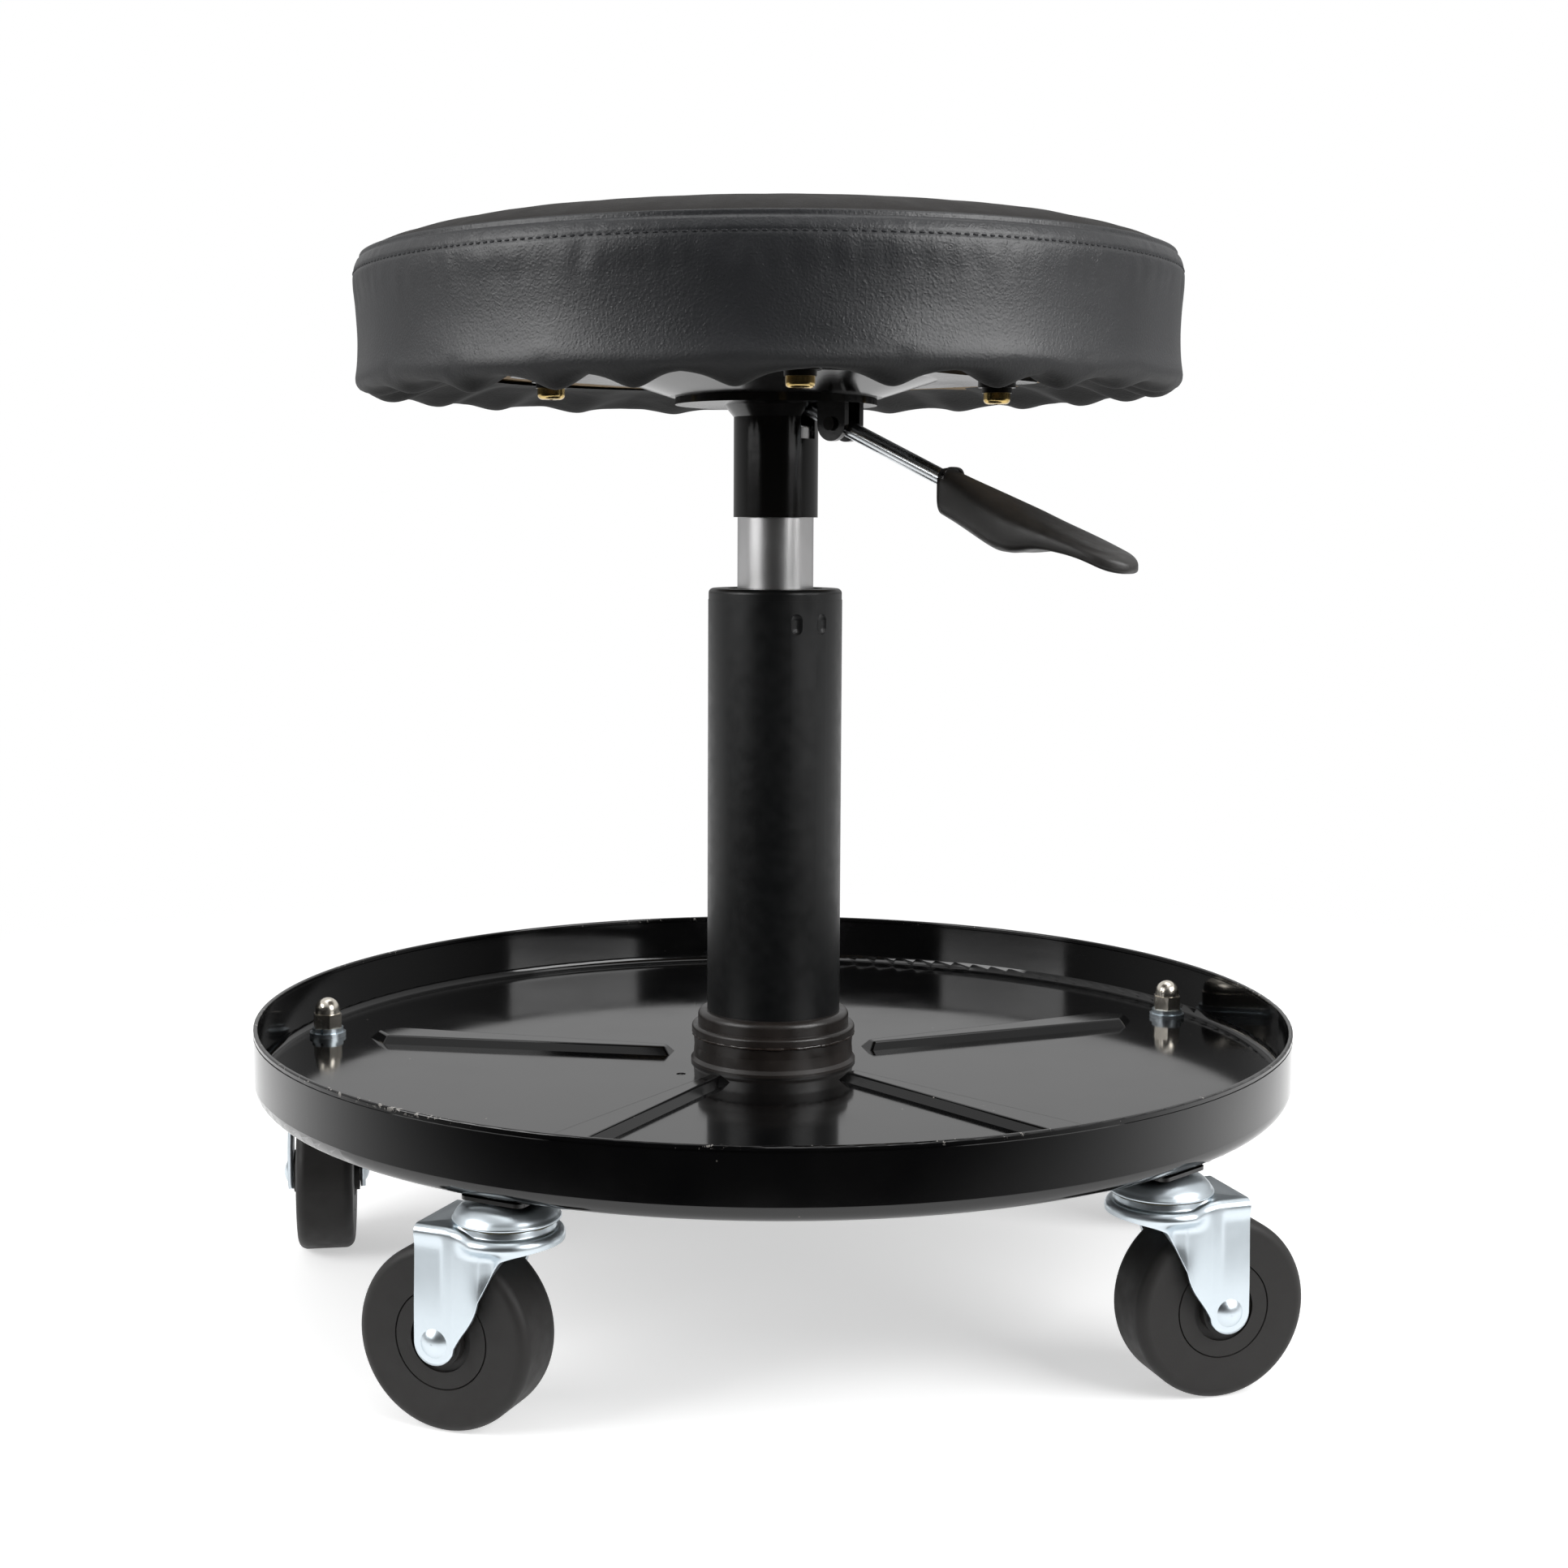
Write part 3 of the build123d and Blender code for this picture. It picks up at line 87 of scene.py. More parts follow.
def add(tree, kind, inputs=None, **settings):
    """Adds a node with its settings, and links or sets each input named or numbered in inputs."""
    node = tree.nodes.new(kind)
    for name, value in settings.items():
        setattr(node, name, value)
    for key, value in (inputs or {}).items():
        if isinstance(value, bpy.types.NodeSocket):
            tree.links.new(value, node.inputs[key])
        else:
            node.inputs[key].default_value = value
    return node


# Parts of a ray's direction, back and up, between which the room turns from dark to white
front_dark = -0.75
back_white = 0.30
low_dim = 0.05
low_full = 0.30
low_share = 0.45
side_dark = 0.45
overhead_white = 0.95
darkest_glow = 0.015
brightest_glow = 0.72
full_white = (1, 1, 1, 1)
world = bpy.data.worlds.new("white studio")
world.use_nodes = True
scene.world = world
tree = world.node_tree
tree.nodes.clear()
way = add(tree, "ShaderNodeTexCoord").outputs["Generated"]
parts = add(tree, "ShaderNodeSeparateXYZ", {0: way})
depth = add(
    tree,
    "ShaderNodeMapRange",
    {0: parts.outputs["Y"], 1: front_dark, 2: back_white},
    interpolation_type="SMOOTHSTEP",
)
above = add(
    tree,
    "ShaderNodeMapRange",
    {0: parts.outputs["Z"], 1: low_dim, 2: low_full, 3: low_share},
    interpolation_type="SMOOTHSTEP",
)
back = add(tree, "ShaderNodeMath", {0: depth.outputs[0], 1: above.outputs[0]}, operation="MULTIPLY")
height = add(
    tree,
    "ShaderNodeMapRange",
    {0: parts.outputs["Z"], 1: side_dark, 2: overhead_white},
    interpolation_type="SMOOTHSTEP",
)
most = add(tree, "ShaderNodeMath", {0: back.outputs[0], 1: height.outputs[0]}, operation="MAXIMUM")
glow = add(tree, "ShaderNodeMapRange", {0: most.outputs[0], 3: darkest_glow, 4: brightest_glow})
room = add(tree, "ShaderNodeBackground", {"Color": full_white, "Strength": glow.outputs[0]})
plain = add(tree, "ShaderNodeBackground", {"Color": full_white, "Strength": 1.0})
seen = add(tree, "ShaderNodeLightPath").outputs["Is Camera Ray"]
both = add(tree, "ShaderNodeMixShader", {0: seen, 1: room.outputs[0], 2: plain.outputs[0]})
add(tree, "ShaderNodeOutputWorld", {0: both.outputs[0]})

# The floor is lit paper that fades to pure white away from the object, in metres from the column
# What the object mirrors of it is paper close under the tray and behind, and dark farther out in front
floor_reach = 4.0
fade_start = 0.35
fade_end = 0.85
paper_glow = 0.5
mirror_skew = 0.12
mirror_dark_until = -0.45
mirror_paper_from = 0.10
under_tray = 0.33
beyond_tray = 0.45
corners = [(x * floor_reach, y * floor_reach, 0) for x, y in [(-1, -1), (1, -1), (1, 1), (-1, 1)]]
floor_mesh = bpy.data.meshes.new("studio_floor")
floor_mesh.from_pydata(corners, [], [(0, 1, 2, 3)])
floor = bpy.data.objects.new("studio_floor", floor_mesh)
scene.collection.objects.link(floor)
paper = bpy.data.materials.new("white paper floor")
paper.use_nodes = True
tree = paper.node_tree
tree.nodes.clear()
place = add(tree, "ShaderNodeTexCoord").outputs["Object"]
spread = add(tree, "ShaderNodeVectorMath", {0: place}, operation="LENGTH")
far = add(
    tree,
    "ShaderNodeMapRange",
    {0: spread.outputs["Value"], 1: fade_start, 2: fade_end},
    interpolation_type="SMOOTHSTEP",
)
matt = add(tree, "ShaderNodeBsdfDiffuse", {"Color": linear("#e9e9e9")})
lift = add(tree, "ShaderNodeEmission", {"Color": full_white, "Strength": paper_glow})
near = add(tree, "ShaderNodeAddShader", {0: matt.outputs[0], 1: lift.outputs[0]})
white = add(tree, "ShaderNodeEmission", {"Color": full_white, "Strength": 1.0})
shown = add(tree, "ShaderNodeMixShader", {0: far.outputs[0], 1: near.outputs[0], 2: white.outputs[0]})
flag = add(tree, "ShaderNodeEmission", {"Color": full_white, "Strength": darkest_glow})
parts = add(tree, "ShaderNodeSeparateXYZ", {0: place})
skew = add(
    tree,
    "ShaderNodeMath",
    {0: parts.outputs["X"], 1: mirror_skew, 2: parts.outputs["Y"]},
    operation="MULTIPLY_ADD",
)
behind = add(
    tree,
    "ShaderNodeMapRange",
    {0: skew.outputs[0], 1: mirror_dark_until, 2: mirror_paper_from},
    interpolation_type="SMOOTHSTEP",
)
close = add(
    tree,
    "ShaderNodeMapRange",
    {0: spread.outputs["Value"], 1: beyond_tray, 2: under_tray},
    interpolation_type="SMOOTHSTEP",
)
lit = add(tree, "ShaderNodeMath", {0: behind.outputs[0], 1: close.outputs[0]}, operation="MAXIMUM")
mirrored = add(tree, "ShaderNodeMixShader", {0: lit.outputs[0], 1: flag.outputs[0], 2: shown.outputs[0]})
path = add(tree, "ShaderNodeLightPath")
grey = add(tree, "ShaderNodeBsdfDiffuse", {"Color": linear("#7c7c7c")})
glossy = add(
    tree,
    "ShaderNodeMixShader",
    {0: path.outputs["Is Glossy Ray"], 1: grey.outputs[0], 2: mirrored.outputs[0]},
)
both = add(
    tree,
    "ShaderNodeMixShader",
    {0: path.outputs["Is Camera Ray"], 1: glossy.outputs[0], 2: shown.outputs[0]},
)
add(tree, "ShaderNodeOutputMaterial", {0: both.outputs[0]})
floor_mesh.materials.append(paper)

# Name, place, width, height and watts of each soft box, all turned to one point on the column
lamp_aim = Vector((0, 0, 0.2))
lamps = [
    ("overhead_softbox", (0.1, 0.1, 1.7), 1.3, 1.3, 8.0),
    ("left_softbox", (-1.25, -0.66, 0.81), 1.0, 0.85, 15.5),
    ("right_softbox", (1.15, -0.78, 0.81), 1.0, 0.85, 20.0),
]
for name, spot, width, tall, power in lamps:
    lamp = bpy.data.lights.new(name, "AREA")
    lamp.shape = "RECTANGLE"
    lamp.size = width
    lamp.size_y = tall
    lamp.energy = power
    box = bpy.data.objects.new(name, lamp)
    scene.collection.objects.link(box)
    box.location = spot
    box.rotation_euler = (lamp_aim - Vector(spot)).to_track_quat("-Z", "Y").to_euler()


# Caster wheels: moulded charcoal polypropylene, each turning on a nylon bush round its axle
# The mould leaves them matt with a fine cast grain, so they show only a soft grey where light grazes them
def start_material(name, **sockets):
    """A new material with one Principled shader, its uniform values set on the shader itself."""
    material = bpy.data.materials.new(name)
    material.use_nodes = True
    material.node_tree.nodes.clear()
    shader = add(material.node_tree, "ShaderNodeBsdfPrincipled")
    for key, value in sockets.items():
        shader.inputs[key.replace("_", " ")].default_value = value
    add(material.node_tree, "ShaderNodeOutputMaterial", {0: shader.outputs[0]})
    return material, material.node_tree, shader


def finish_nodes(material, *names):
    """Gives a CAD node's every face the material."""
    for name in names:
        for slot in nodes[name].material_slots:
            slot.material = material


def grain(tree, shader, size, depth, rough=None, tint=None, detail=3.0):
    """Cast or moulded grain: noise of one real size in metres pushes the normal by the depth.

    Clouds about eight times as broad may move roughness and colour between two values each."""
    place = add(tree, "ShaderNodeTexCoord").outputs["Object"]
    noise = add(
        tree,
        "ShaderNodeTexNoise",
        {"Vector": place, "Scale": 1 / size, "Detail": detail, "Roughness": 0.6},
    )
    bump = add(tree, "ShaderNodeBump", {"Height": noise.outputs[0], "Distance": depth, "Strength": 1.0})
    tree.links.new(bump.outputs[0], shader.inputs["Normal"])
    cloud = add(tree, "ShaderNodeTexNoise", {"Vector": place, "Scale": 0.12 / size, "Detail": 4.0})
    if rough:
        limits = {0: cloud.outputs[0], 1: 0.3, 2: 0.7, 3: rough[0], 4: rough[1]}
        vary = add(tree, "ShaderNodeMapRange", limits)
        tree.links.new(vary.outputs[0], shader.inputs["Roughness"])
    if tint:
        colours = {0: cloud.outputs[0], 6: linear(tint[0]), 7: linear(tint[1])}
        blend = add(tree, "ShaderNodeMix", colours, data_type="RGBA")
        tree.links.new(blend.outputs[2], shader.inputs["Base Color"])
    return place, cloud


caster_names = ["right", "back", "left", "front_left", "front_right"]
material, tree, shader = start_material("moulded charcoal polypropylene", IOR=1.42)
grain(tree, shader, 0.0006, 0.00003, rough=(0.5, 0.62), tint=("#1a1918", "#242221"))
finish_nodes(material, *[f"caster_wheel_{name}" for name in caster_names])

# Axle bushes: short sleeves turned from natural nylon and pressed into the hubs
# Bare nylon is milky and half matt
material, tree, shader = start_material("natural nylon bush", IOR=1.53)
grain(tree, shader, 0.0005, 0.00001, rough=(0.35, 0.45), tint=("#cfcabb", "#dcd8ca"))
finish_nodes(material, *[f"caster_bush_{name}" for name in caster_names])

# Caster forks: steel sheet pressed into a round crown and two tapering legs, bright zinc plated
# Each is one sheet: a crown that slopes from the ball ring to a soft bend, a short skirt behind,
# and two ribbed legs that hold the axle
stem_circle_radius = 177.5
stem_angles = [26.0, 98.0, 170.0, 244.0, 315.5]
caster_headings = [260.0, 200.0, 280.0, 159.5, 18.5]
axle_reach = 17.5
axle_height = 29.5
fork_front = 24.3
fork_half_width = 14.5
crown_rim_radius = 17.9
crown_side_reach = 3.0
crown_meets_legs = 13.0
sheet_thickness = 1.8
ring_hole_radius = 10.0
ring_top_radius = 14.6
ring_top_height = 66.5
saddle_height = 65.9
skirt_top_height = 64.3
bend_radius = 2.6
leg_end_radius = 6.8
# Rear edge of a leg, from its round end up to the skirt behind: reach from the stem, height
leg_rear_edge = [
    (6.3, 36.7), (2.9, 44.2), (-1.3, 51.6), (-5.0, 56.6),
    (-9.3, 59.2), (-14.5, 60.3), (-17.9, 60.6),
]
rib_front_inset = 9.6
rib_rise = 0.55
rib_foot_height = 37.0
rib_top_width = 8.6
flank_depth = 1.5


def smooth_step(value, low, high):
    """0 below low, 1 above high, and the cubic 3t squared minus 2t cubed of the share between them."""
    share = np.clip((value - low) / (high - low), 0, 1)
    return share * share * (3 - 2 * share)


def smooth_path(points, shares):
    """Points at shares of the length of a Catmull-Rom curve through the given ones."""
    points = np.array(points, float)
    ends = np.vstack([2 * points[0] - points[1], points, 2 * points[-1] - points[-2]])
    t = np.linspace(0, 1, 40, endpoint=False)[:, None]
    runs = []
    for k in range(len(points) - 1):
        a, b, c, d = ends[k : k + 4]
        run = 2 * b + (c - a) * t + (2 * a - 5 * b + 4 * c - d) * t**2 + (3 * b - a - 3 * c + d) * t**3
        runs.append(0.5 * run)
    dense = np.vstack(runs + [points[-1:]])
    along = np.concatenate([[0], np.cumsum(np.linalg.norm(np.diff(dense, axis=0), axis=1))])
    places = np.asarray(shares) * along[-1]
    return np.stack([np.interp(places, along, dense[:, k]) for k in range(dense.shape[1])], 1)


def grid_mesh(name, grids, closed=False, merge=True, marks=None):
    """A smooth-shaded object from grids of points in millimetres, each rows by columns.

    A closed grid joins its last column to its first. Points that meet are merged, and faces turn outward.
    Marks are values kept at every point, under their names."""
    points, faces = [], []
    for grid in grids:
        rows, columns = grid.shape[:2]
        index = np.arange(rows * columns).reshape(rows, columns) + sum(len(block) for block in points)
        if closed:
            index = np.hstack([index, index[:, :1]])
        quads = np.stack([index[:-1, :-1], index[:-1, 1:], index[1:, 1:], index[1:, :-1]], -1)
        faces.append(quads.reshape(-1, 4))
        points.append(grid.reshape(-1, 3))
    mesh = bpy.data.meshes.new(name)
    mesh.from_pydata((np.vstack(points) * mm).tolist(), [], np.vstack(faces).tolist())
    for mark, values in (marks or {}).items():
        mesh.attributes.new(mark, "FLOAT", "POINT").data.foreach_set("value", np.asarray(values, np.float32))
    shape = bmesh.new()
    shape.from_mesh(mesh)
    if merge:
        bmesh.ops.remove_doubles(shape, verts=shape.verts, dist=0.001 * mm)
    bmesh.ops.recalc_face_normals(shape, faces=shape.faces)
    shape.to_mesh(mesh)
    shape.free()
    mesh.polygons.foreach_set("use_smooth", [True] * len(mesh.polygons))
    piece = bpy.data.objects.new(name, mesh)
    scene.collection.objects.link(piece)
    return piece


def leg_foot_height(reach):
    """Height of the sheet's lower edge at a reach from the stem: a half circle, then the rear edge.

    The circle is the axle's height less the root of its radius squared less the distance squared."""
    circle = axle_height - np.sqrt(np.clip(leg_end_radius**2 - (reach - axle_reach) ** 2, 0, None))
    circle_end = (axle_reach - leg_end_radius * 0.93, axle_height - leg_end_radius * 0.2)
    rear = smooth_path([circle_end] + leg_rear_edge, np.linspace(0, 1, 80))
    edge = np.interp(-reach, -rear[:, 0], rear[:, 1])
    return np.where(reach > rear[0, 0], circle, edge)


def fork_outline():
    """Plan of the fork's outer face from one front corner round the back to the other."""
    foot_end = fork_front - 2 * leg_end_radius
    front = fork_front - (1 - np.cos(np.linspace(0, math.pi, 30))) * leg_end_radius
    side = np.linspace(foot_end, crown_side_reach, 14)[1:]
    reach = np.concatenate([front, side])
    swell = smooth_step(-reach, -crown_meets_legs, -crown_side_reach)
    round_half = np.sqrt(crown_rim_radius**2 - np.clip(reach, None, crown_meets_legs) ** 2)
    half = fork_half_width + (round_half - fork_half_width) * swell
    angle = np.linspace(math.acos(crown_side_reach / crown_rim_radius), math.pi, 34)[1:]
    arc = np.stack([np.cos(angle), np.sin(angle)], 1) * crown_rim_radius
    left = np.vstack([np.stack([reach, half], 1), arc])
    return np.vstack([left, left[-2::-1] * [1, -1]])


def crown_rows(inner, shoulder):
    """Rows of the crown from the ring's hole over the ring and down an eased slope to its inner bend line."""
    length = np.linalg.norm(inner, axis=1)
    way = inner / length[:, None]
    ring = way * np.minimum(ring_top_radius, length - 0.6)[:, None]
    rows = [
        np.column_stack([way * ring_hole_radius, np.full(len(inner), ring_top_height - 0.5)]),
        np.column_stack([way * (ring_hole_radius + 0.6), np.full(len(inner), ring_top_height)]),
    ]
    for share in np.linspace(0, 1, 9):
        drop = share * share * (3 - 2 * share)
        height = ring_top_height + (shoulder - ring_top_height) * drop
        rows.append(np.column_stack([ring + (inner - ring) * share, height]))
    return rows


def fork_grids():
    """The fork's outer face in its own place: one grid for crown, bend and walls, one for the crown's front.

    The walls go straight down from the bend, pressed in beside the rib, on the flank and under the crown."""
    plan = fork_outline()
    ahead = np.gradient(plan, axis=0)
    normal = np.stack([ahead[:, 1], -ahead[:, 0]], 1)
    normal /= np.linalg.norm(normal, axis=1)[:, None]
    normal *= np.sign((normal * (plan + [4.0, 0])).sum(1))[:, None]
    reach = plan[:, 0]
    shoulder = saddle_height + (skirt_top_height - saddle_height) * smooth_step(-reach, -14.5, -4.0)
    inner = plan - normal * bend_radius
    rows = crown_rows(inner, shoulder)
    for turn in np.linspace(0, math.pi / 2, 8)[1:]:
        spot = inner + normal * bend_radius * math.sin(turn)
        rows.append(np.column_stack([spot, shoulder - bend_radius * (1 - math.cos(turn))]))
    start = shoulder - bend_radius
    foot = np.minimum(leg_foot_height(reach), start - 0.5)
    bulge = np.clip(np.abs(plan[:, 1]) - fork_half_width, 0, None) * smooth_step(reach, -9.0, -2.0)
    behind = fork_front - reach
    rib_back = rib_front_inset + rib_top_width
    rib = smooth_step(behind, rib_front_inset - 0.8, rib_front_inset + 0.8)
    rib *= 1 - smooth_step(behind, rib_back - 2.5, rib_back + 2.5)
    flank = smooth_step(behind, rib_back - 1.0, rib_back + 8.0)
    flank_reach = smooth_step(reach, -12.0, -4.0)
    for share in np.linspace(0, 1, 36)[1:]:
        height = start + (foot - start) * share
        down = smooth_step(start - height, 0.0, 4.0)
        hollow = (1 - rib) * rib_rise * smooth_step(height, rib_foot_height, 59.0) * down
        hollow += flank * flank_depth * smooth_step(height, 43.0, 53.0) * down * flank_reach
        hollow += bulge * smooth_step(start - height, 0.0, 5.0)
        rows.append(np.column_stack([plan - normal * hollow[:, None], height]))
    side = np.linspace(inner[-1, 1], inner[0, 1], 24)
    front = np.stack([np.full(len(side), fork_front), side], 1)
    return np.array(rows), np.array(crown_rows(front, np.full(len(side), saddle_height)))


def placed(grid, stem_angle, heading):
    """A caster's grid turned by the cosine and sine of its heading and moved out to its stem."""
    turn = math.radians(heading)
    place = math.radians(stem_angle)
    stem = [stem_circle_radius * math.cos(place), stem_circle_radius * math.sin(place)]
    out = grid.copy()
    out[..., 0] = grid[..., 0] * math.cos(turn) - grid[..., 1] * math.sin(turn) + stem[0]
    out[..., 1] = grid[..., 0] * math.sin(turn) + grid[..., 1] * math.cos(turn) + stem[1]
    return out


forks = []
crown_and_legs, crown_front = fork_grids()
for name, stem_angle, heading in zip(caster_names, stem_angles, caster_headings):
    grids = [placed(crown_and_legs, stem_angle, heading), placed(crown_front, stem_angle, heading)]
    fork = grid_mesh(f"fork_sheet_{name}", grids)
    sheet = fork.modifiers.new("sheet", "SOLIDIFY")
    sheet.thickness = sheet_thickness * mm
    sheet.offset = -1
    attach(fork, f"fork_{name}")
    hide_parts(f"caster_fork_{name}")
    forks.append(fork)

# Caster cups: one pressed steel dome a caster, held on its stem above the fork and bright zinc plated
# Its lip is turned down over the balls to a narrow seam above the crown
cup_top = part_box("caster_cups")[1].z / mm
cup_lip_height = 67.1
cup_bore_radius = 4.3
cup_flat_radius = 8.3
cup_bore_depth = 1.6
cup_inside_shift = [-1.15, -0.55]
cup_side = [
    (8.4, cup_top - 0.5), (10.6, cup_top - 0.9), (13.2, cup_top - 1.9), (15.2, cup_top - 3.6),
    (16.1, cup_top - 5.0), (16.5, cup_lip_height + 0.9),
]
dome = smooth_path(cup_side, np.linspace(0, 1, 18))
lip = [
    (16.75, cup_lip_height + 0.5), (16.7, cup_lip_height + 0.1), (16.4, cup_lip_height),
    (15.6, cup_lip_height), (15.3, cup_lip_height + 0.4),
]
under = dome[::-1] + cup_inside_shift
top_flat = [(cup_bore_radius, cup_top), (cup_flat_radius, cup_top)]
bore = [(cup_bore_radius, cup_top - cup_bore_depth), (cup_bore_radius, cup_top)]
cup_section = np.vstack([top_flat, dome, lip, under, bore])
cup_angle = np.radians(np.linspace(0, 360, 72, endpoint=False))
cup_grids = []
for stem_angle in stem_angles:
    place = math.radians(stem_angle)
    cup_grids.append(np.stack(
        [
            cup_section[:, :1] * np.cos(cup_angle) + stem_circle_radius * math.cos(place),
            cup_section[:, :1] * np.sin(cup_angle) + stem_circle_radius * math.sin(place),
            cup_section[:, 1:] + 0 * cup_angle,
        ],
        -1,
    ))
cups = grid_mesh("cup_domes", cup_grids, closed=True)
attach(cups, "base")
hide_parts("caster_cups")

# Grease in the casters' seams: an uneven bead of old grease pressed out between cup and crown
# It has gathered grey-brown dirt, and is still wet enough to shine in places
grease_ring_radius = 15.5
grease_height = 66.75
grease_thickness = 0.5
grease_unevenness = 0.12
grease_flatness = 0.7
grease_wave = np.random.default_rng(8).uniform(-1, 1, (5, 72))
grease_turn = np.radians(np.linspace(0, 360, 12, endpoint=False))
grease_grids = []
for stem_angle, wave in zip(stem_angles, grease_wave):
    place = math.radians(stem_angle)
    thick = grease_thickness + grease_unevenness * (wave + np.roll(wave, 1) + np.roll(wave, 2))[:, None]
    reach = grease_ring_radius + thick * np.cos(grease_turn)
    grease_grids.append(np.stack(
        [
            reach * np.cos(cup_angle)[:, None] + stem_circle_radius * math.cos(place),
            reach * np.sin(cup_angle)[:, None] + stem_circle_radius * math.sin(place),
            grease_height + grease_flatness * thick * np.sin(grease_turn),
        ],
        -1,
    ))
grease_grids = [np.concatenate([grid, grid[:1]]) for grid in grease_grids]
grease = grid_mesh("seam_grease", grease_grids, closed=True)
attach(grease, "base")
material, tree, shader = start_material("dirty bearing grease", IOR=1.47)
grain(tree, shader, 0.0009, 0.00015, rough=(0.3, 0.6), tint=("#2a2618", "#6a6040"))
grease.data.materials.append(material)

# Axle rivets, stems and washers, with the forks and cups: steel, bright zinc plated with a bluish passivation
# Broad faint clouds in the plate's haze and a fine roll grain keep the sheet from looking like a mirror
material, tree, shader = start_material("bright blue zinc plate", Metallic=1.0)
grain(tree, shader, 0.0012, 0.000006, rough=(0.28, 0.38), tint=("#bec8ce", "#d6dfe5"))
for piece in forks + [cups]:
    piece.data.materials.append(material)
finish_nodes(material, *[f"caster_axle_{name}" for name in caster_names])
finish_nodes(material, "stem_washers", "spring_washers", "caster_stems")

# Balls and races of the casters and the column: hardened and polished bearing steel
# Its mirror is warm and uneven under the grease it runs in
material, tree, shader = start_material("polished bearing steel in grease", Metallic=1.0)
grain(tree, shader, 0.002, 0.00002, rough=(0.15, 0.3), tint=("#8a8170", "#b5b0a6"))
finish_nodes(material, "caster_balls", "bearing_balls", "race_lower", "race_upper")

# Tray: one pan pressed from steel sheet with a foot ring, ribs and a rolled rim, in stoved gloss black enamel
# It mirrors like dark glass under a haze of dust in clouds, with a few pale specks lying on it
# Small chips in groups along the rim bare grey primer and steel
chip_band_start = 0.0016
chip_band_full = 0.0004
chips_per_metre = 420.0
chip_groups_per_metre = 11.0
chip_group_weight = 0.55
chip_starts = 0.955
chip_bare = 0.985
specks_per_metre = 170.0
speck_edge = 0.06
speck_core = 0.03
speck_rare = 0.80
speck_sure = 0.84
material, tree, shader = start_material("stoved gloss black enamel", IOR=1.5)
place, cloud = grain(tree, shader, 0.003, 0.000004, rough=(0.07, 0.12))
rim_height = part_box("tray")[1].z
upright = add(tree, "ShaderNodeSeparateXYZ", {0: place})
edge = add(
    tree,
    "ShaderNodeMapRange",
    {0: upright.outputs["Z"], 1: rim_height - chip_band_start, 2: rim_height - chip_band_full},
)
flecks = add(
    tree,
    "ShaderNodeTexNoise",
    {"Vector": place, "Scale": chips_per_metre, "Detail": 3.0, "Roughness": 0.7},
)
groups = add(tree, "ShaderNodeTexNoise", {"Vector": place, "Scale": chip_groups_per_metre, "Detail": 2.0})
worn = add(
    tree,
    "ShaderNodeMath",
    {0: groups.outputs[0], 1: chip_group_weight, 2: flecks.outputs[0]},
    operation="MULTIPLY_ADD",
)
chip = add(tree, "ShaderNodeMapRange", {0: worn.outputs[0], 1: chip_starts, 2: chip_bare})
chip = add(tree, "ShaderNodeMath", {0: chip.outputs[0], 1: edge.outputs[0]}, operation="MULTIPLY")
motes = add(tree, "ShaderNodeTexVoronoi", {"Vector": place, "Scale": specks_per_metre})
speck = add(tree, "ShaderNodeMapRange", {0: motes.outputs["Distance"], 1: speck_edge, 2: speck_core})
sparse = add(tree, "ShaderNodeMapRange", {0: motes.outputs["Color"], 1: speck_rare, 2: speck_sure})
speck = add(tree, "ShaderNodeMath", {0: speck.outputs[0], 1: sparse.outputs[0]}, operation="MULTIPLY")
coats = {0: cloud.outputs[0], 6: linear("#050506"), 7: linear("#0c0c0c")}
black = add(tree, "ShaderNodeMix", coats, data_type="RGBA")
coats = {0: speck.outputs[0], 6: black.outputs[2], 7: linear("#8d8a84")}
dusty = add(tree, "ShaderNodeMix", coats, data_type="RGBA")
coats = {0: chip.outputs[0], 6: dusty.outputs[2], 7: linear("#8b8884")}
chipped = add(tree, "ShaderNodeMix", coats, data_type="RGBA")
tree.links.new(chipped.outputs[2], shader.inputs["Base Color"])
finish_nodes(material, "tray")

# Reinforcement plates, seat tube, lever bracket and seat plate: welded steel in the same gloss enamel
# Brushed on by hand, it has run and lies slightly uneven, so its highlights wander
material, tree, shader = start_material("brushed-on gloss black enamel", IOR=1.5)
grain(tree, shader, 0.008, 0.00004, rough=(0.08, 0.2), tint=("#060607", "#12110f"))
finish_nodes(material, "reinforcement_plates", "seat_tube", "lever_bracket", "seat_plate")

# Post socket: a turned steel collar welded to the tray, in the same enamel
# Workshop dust lies on it in broad clouds and dulls it brown
material, tree, shader = start_material("dusty black enamel", IOR=1.5)
grain(tree, shader, 0.0015, 0.00003, rough=(0.26, 0.46), tint=("#0a0908", "#2a2421"))
finish_nodes(material, "post_socket")

# Weld bead: the uneven run of weld in the step under the socket's ring, enamelled over
# Its ripples catch small glints
bead_radius = 29.9
bead_drop = 8.9
bead_thickness = 0.62
bead_unevenness = 0.22
bead_wander = 0.15
bead_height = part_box("post_socket")[1].z / mm - bead_drop
bead_dice = np.random.default_rng(12)
bead_angle = np.radians(np.linspace(0, 360, 240, endpoint=False))
bead_ripple = bead_dice.uniform(-1, 1, len(bead_angle))
bead_ripple = (np.roll(bead_ripple, 1) + 2 * bead_ripple + np.roll(bead_ripple, -1)) / 4
bead_turn = np.radians(np.linspace(0, 360, 10, endpoint=False))[:, None]
bead_thick = bead_thickness + bead_unevenness * bead_ripple
bead_reach = bead_radius + bead_thick * np.cos(bead_turn)
bead_up = bead_height + bead_wander * np.roll(bead_ripple, 7) + bead_thick * np.sin(bead_turn)
bead_points = np.stack([bead_reach * np.cos(bead_angle), bead_reach * np.sin(bead_angle), bead_up], -1)
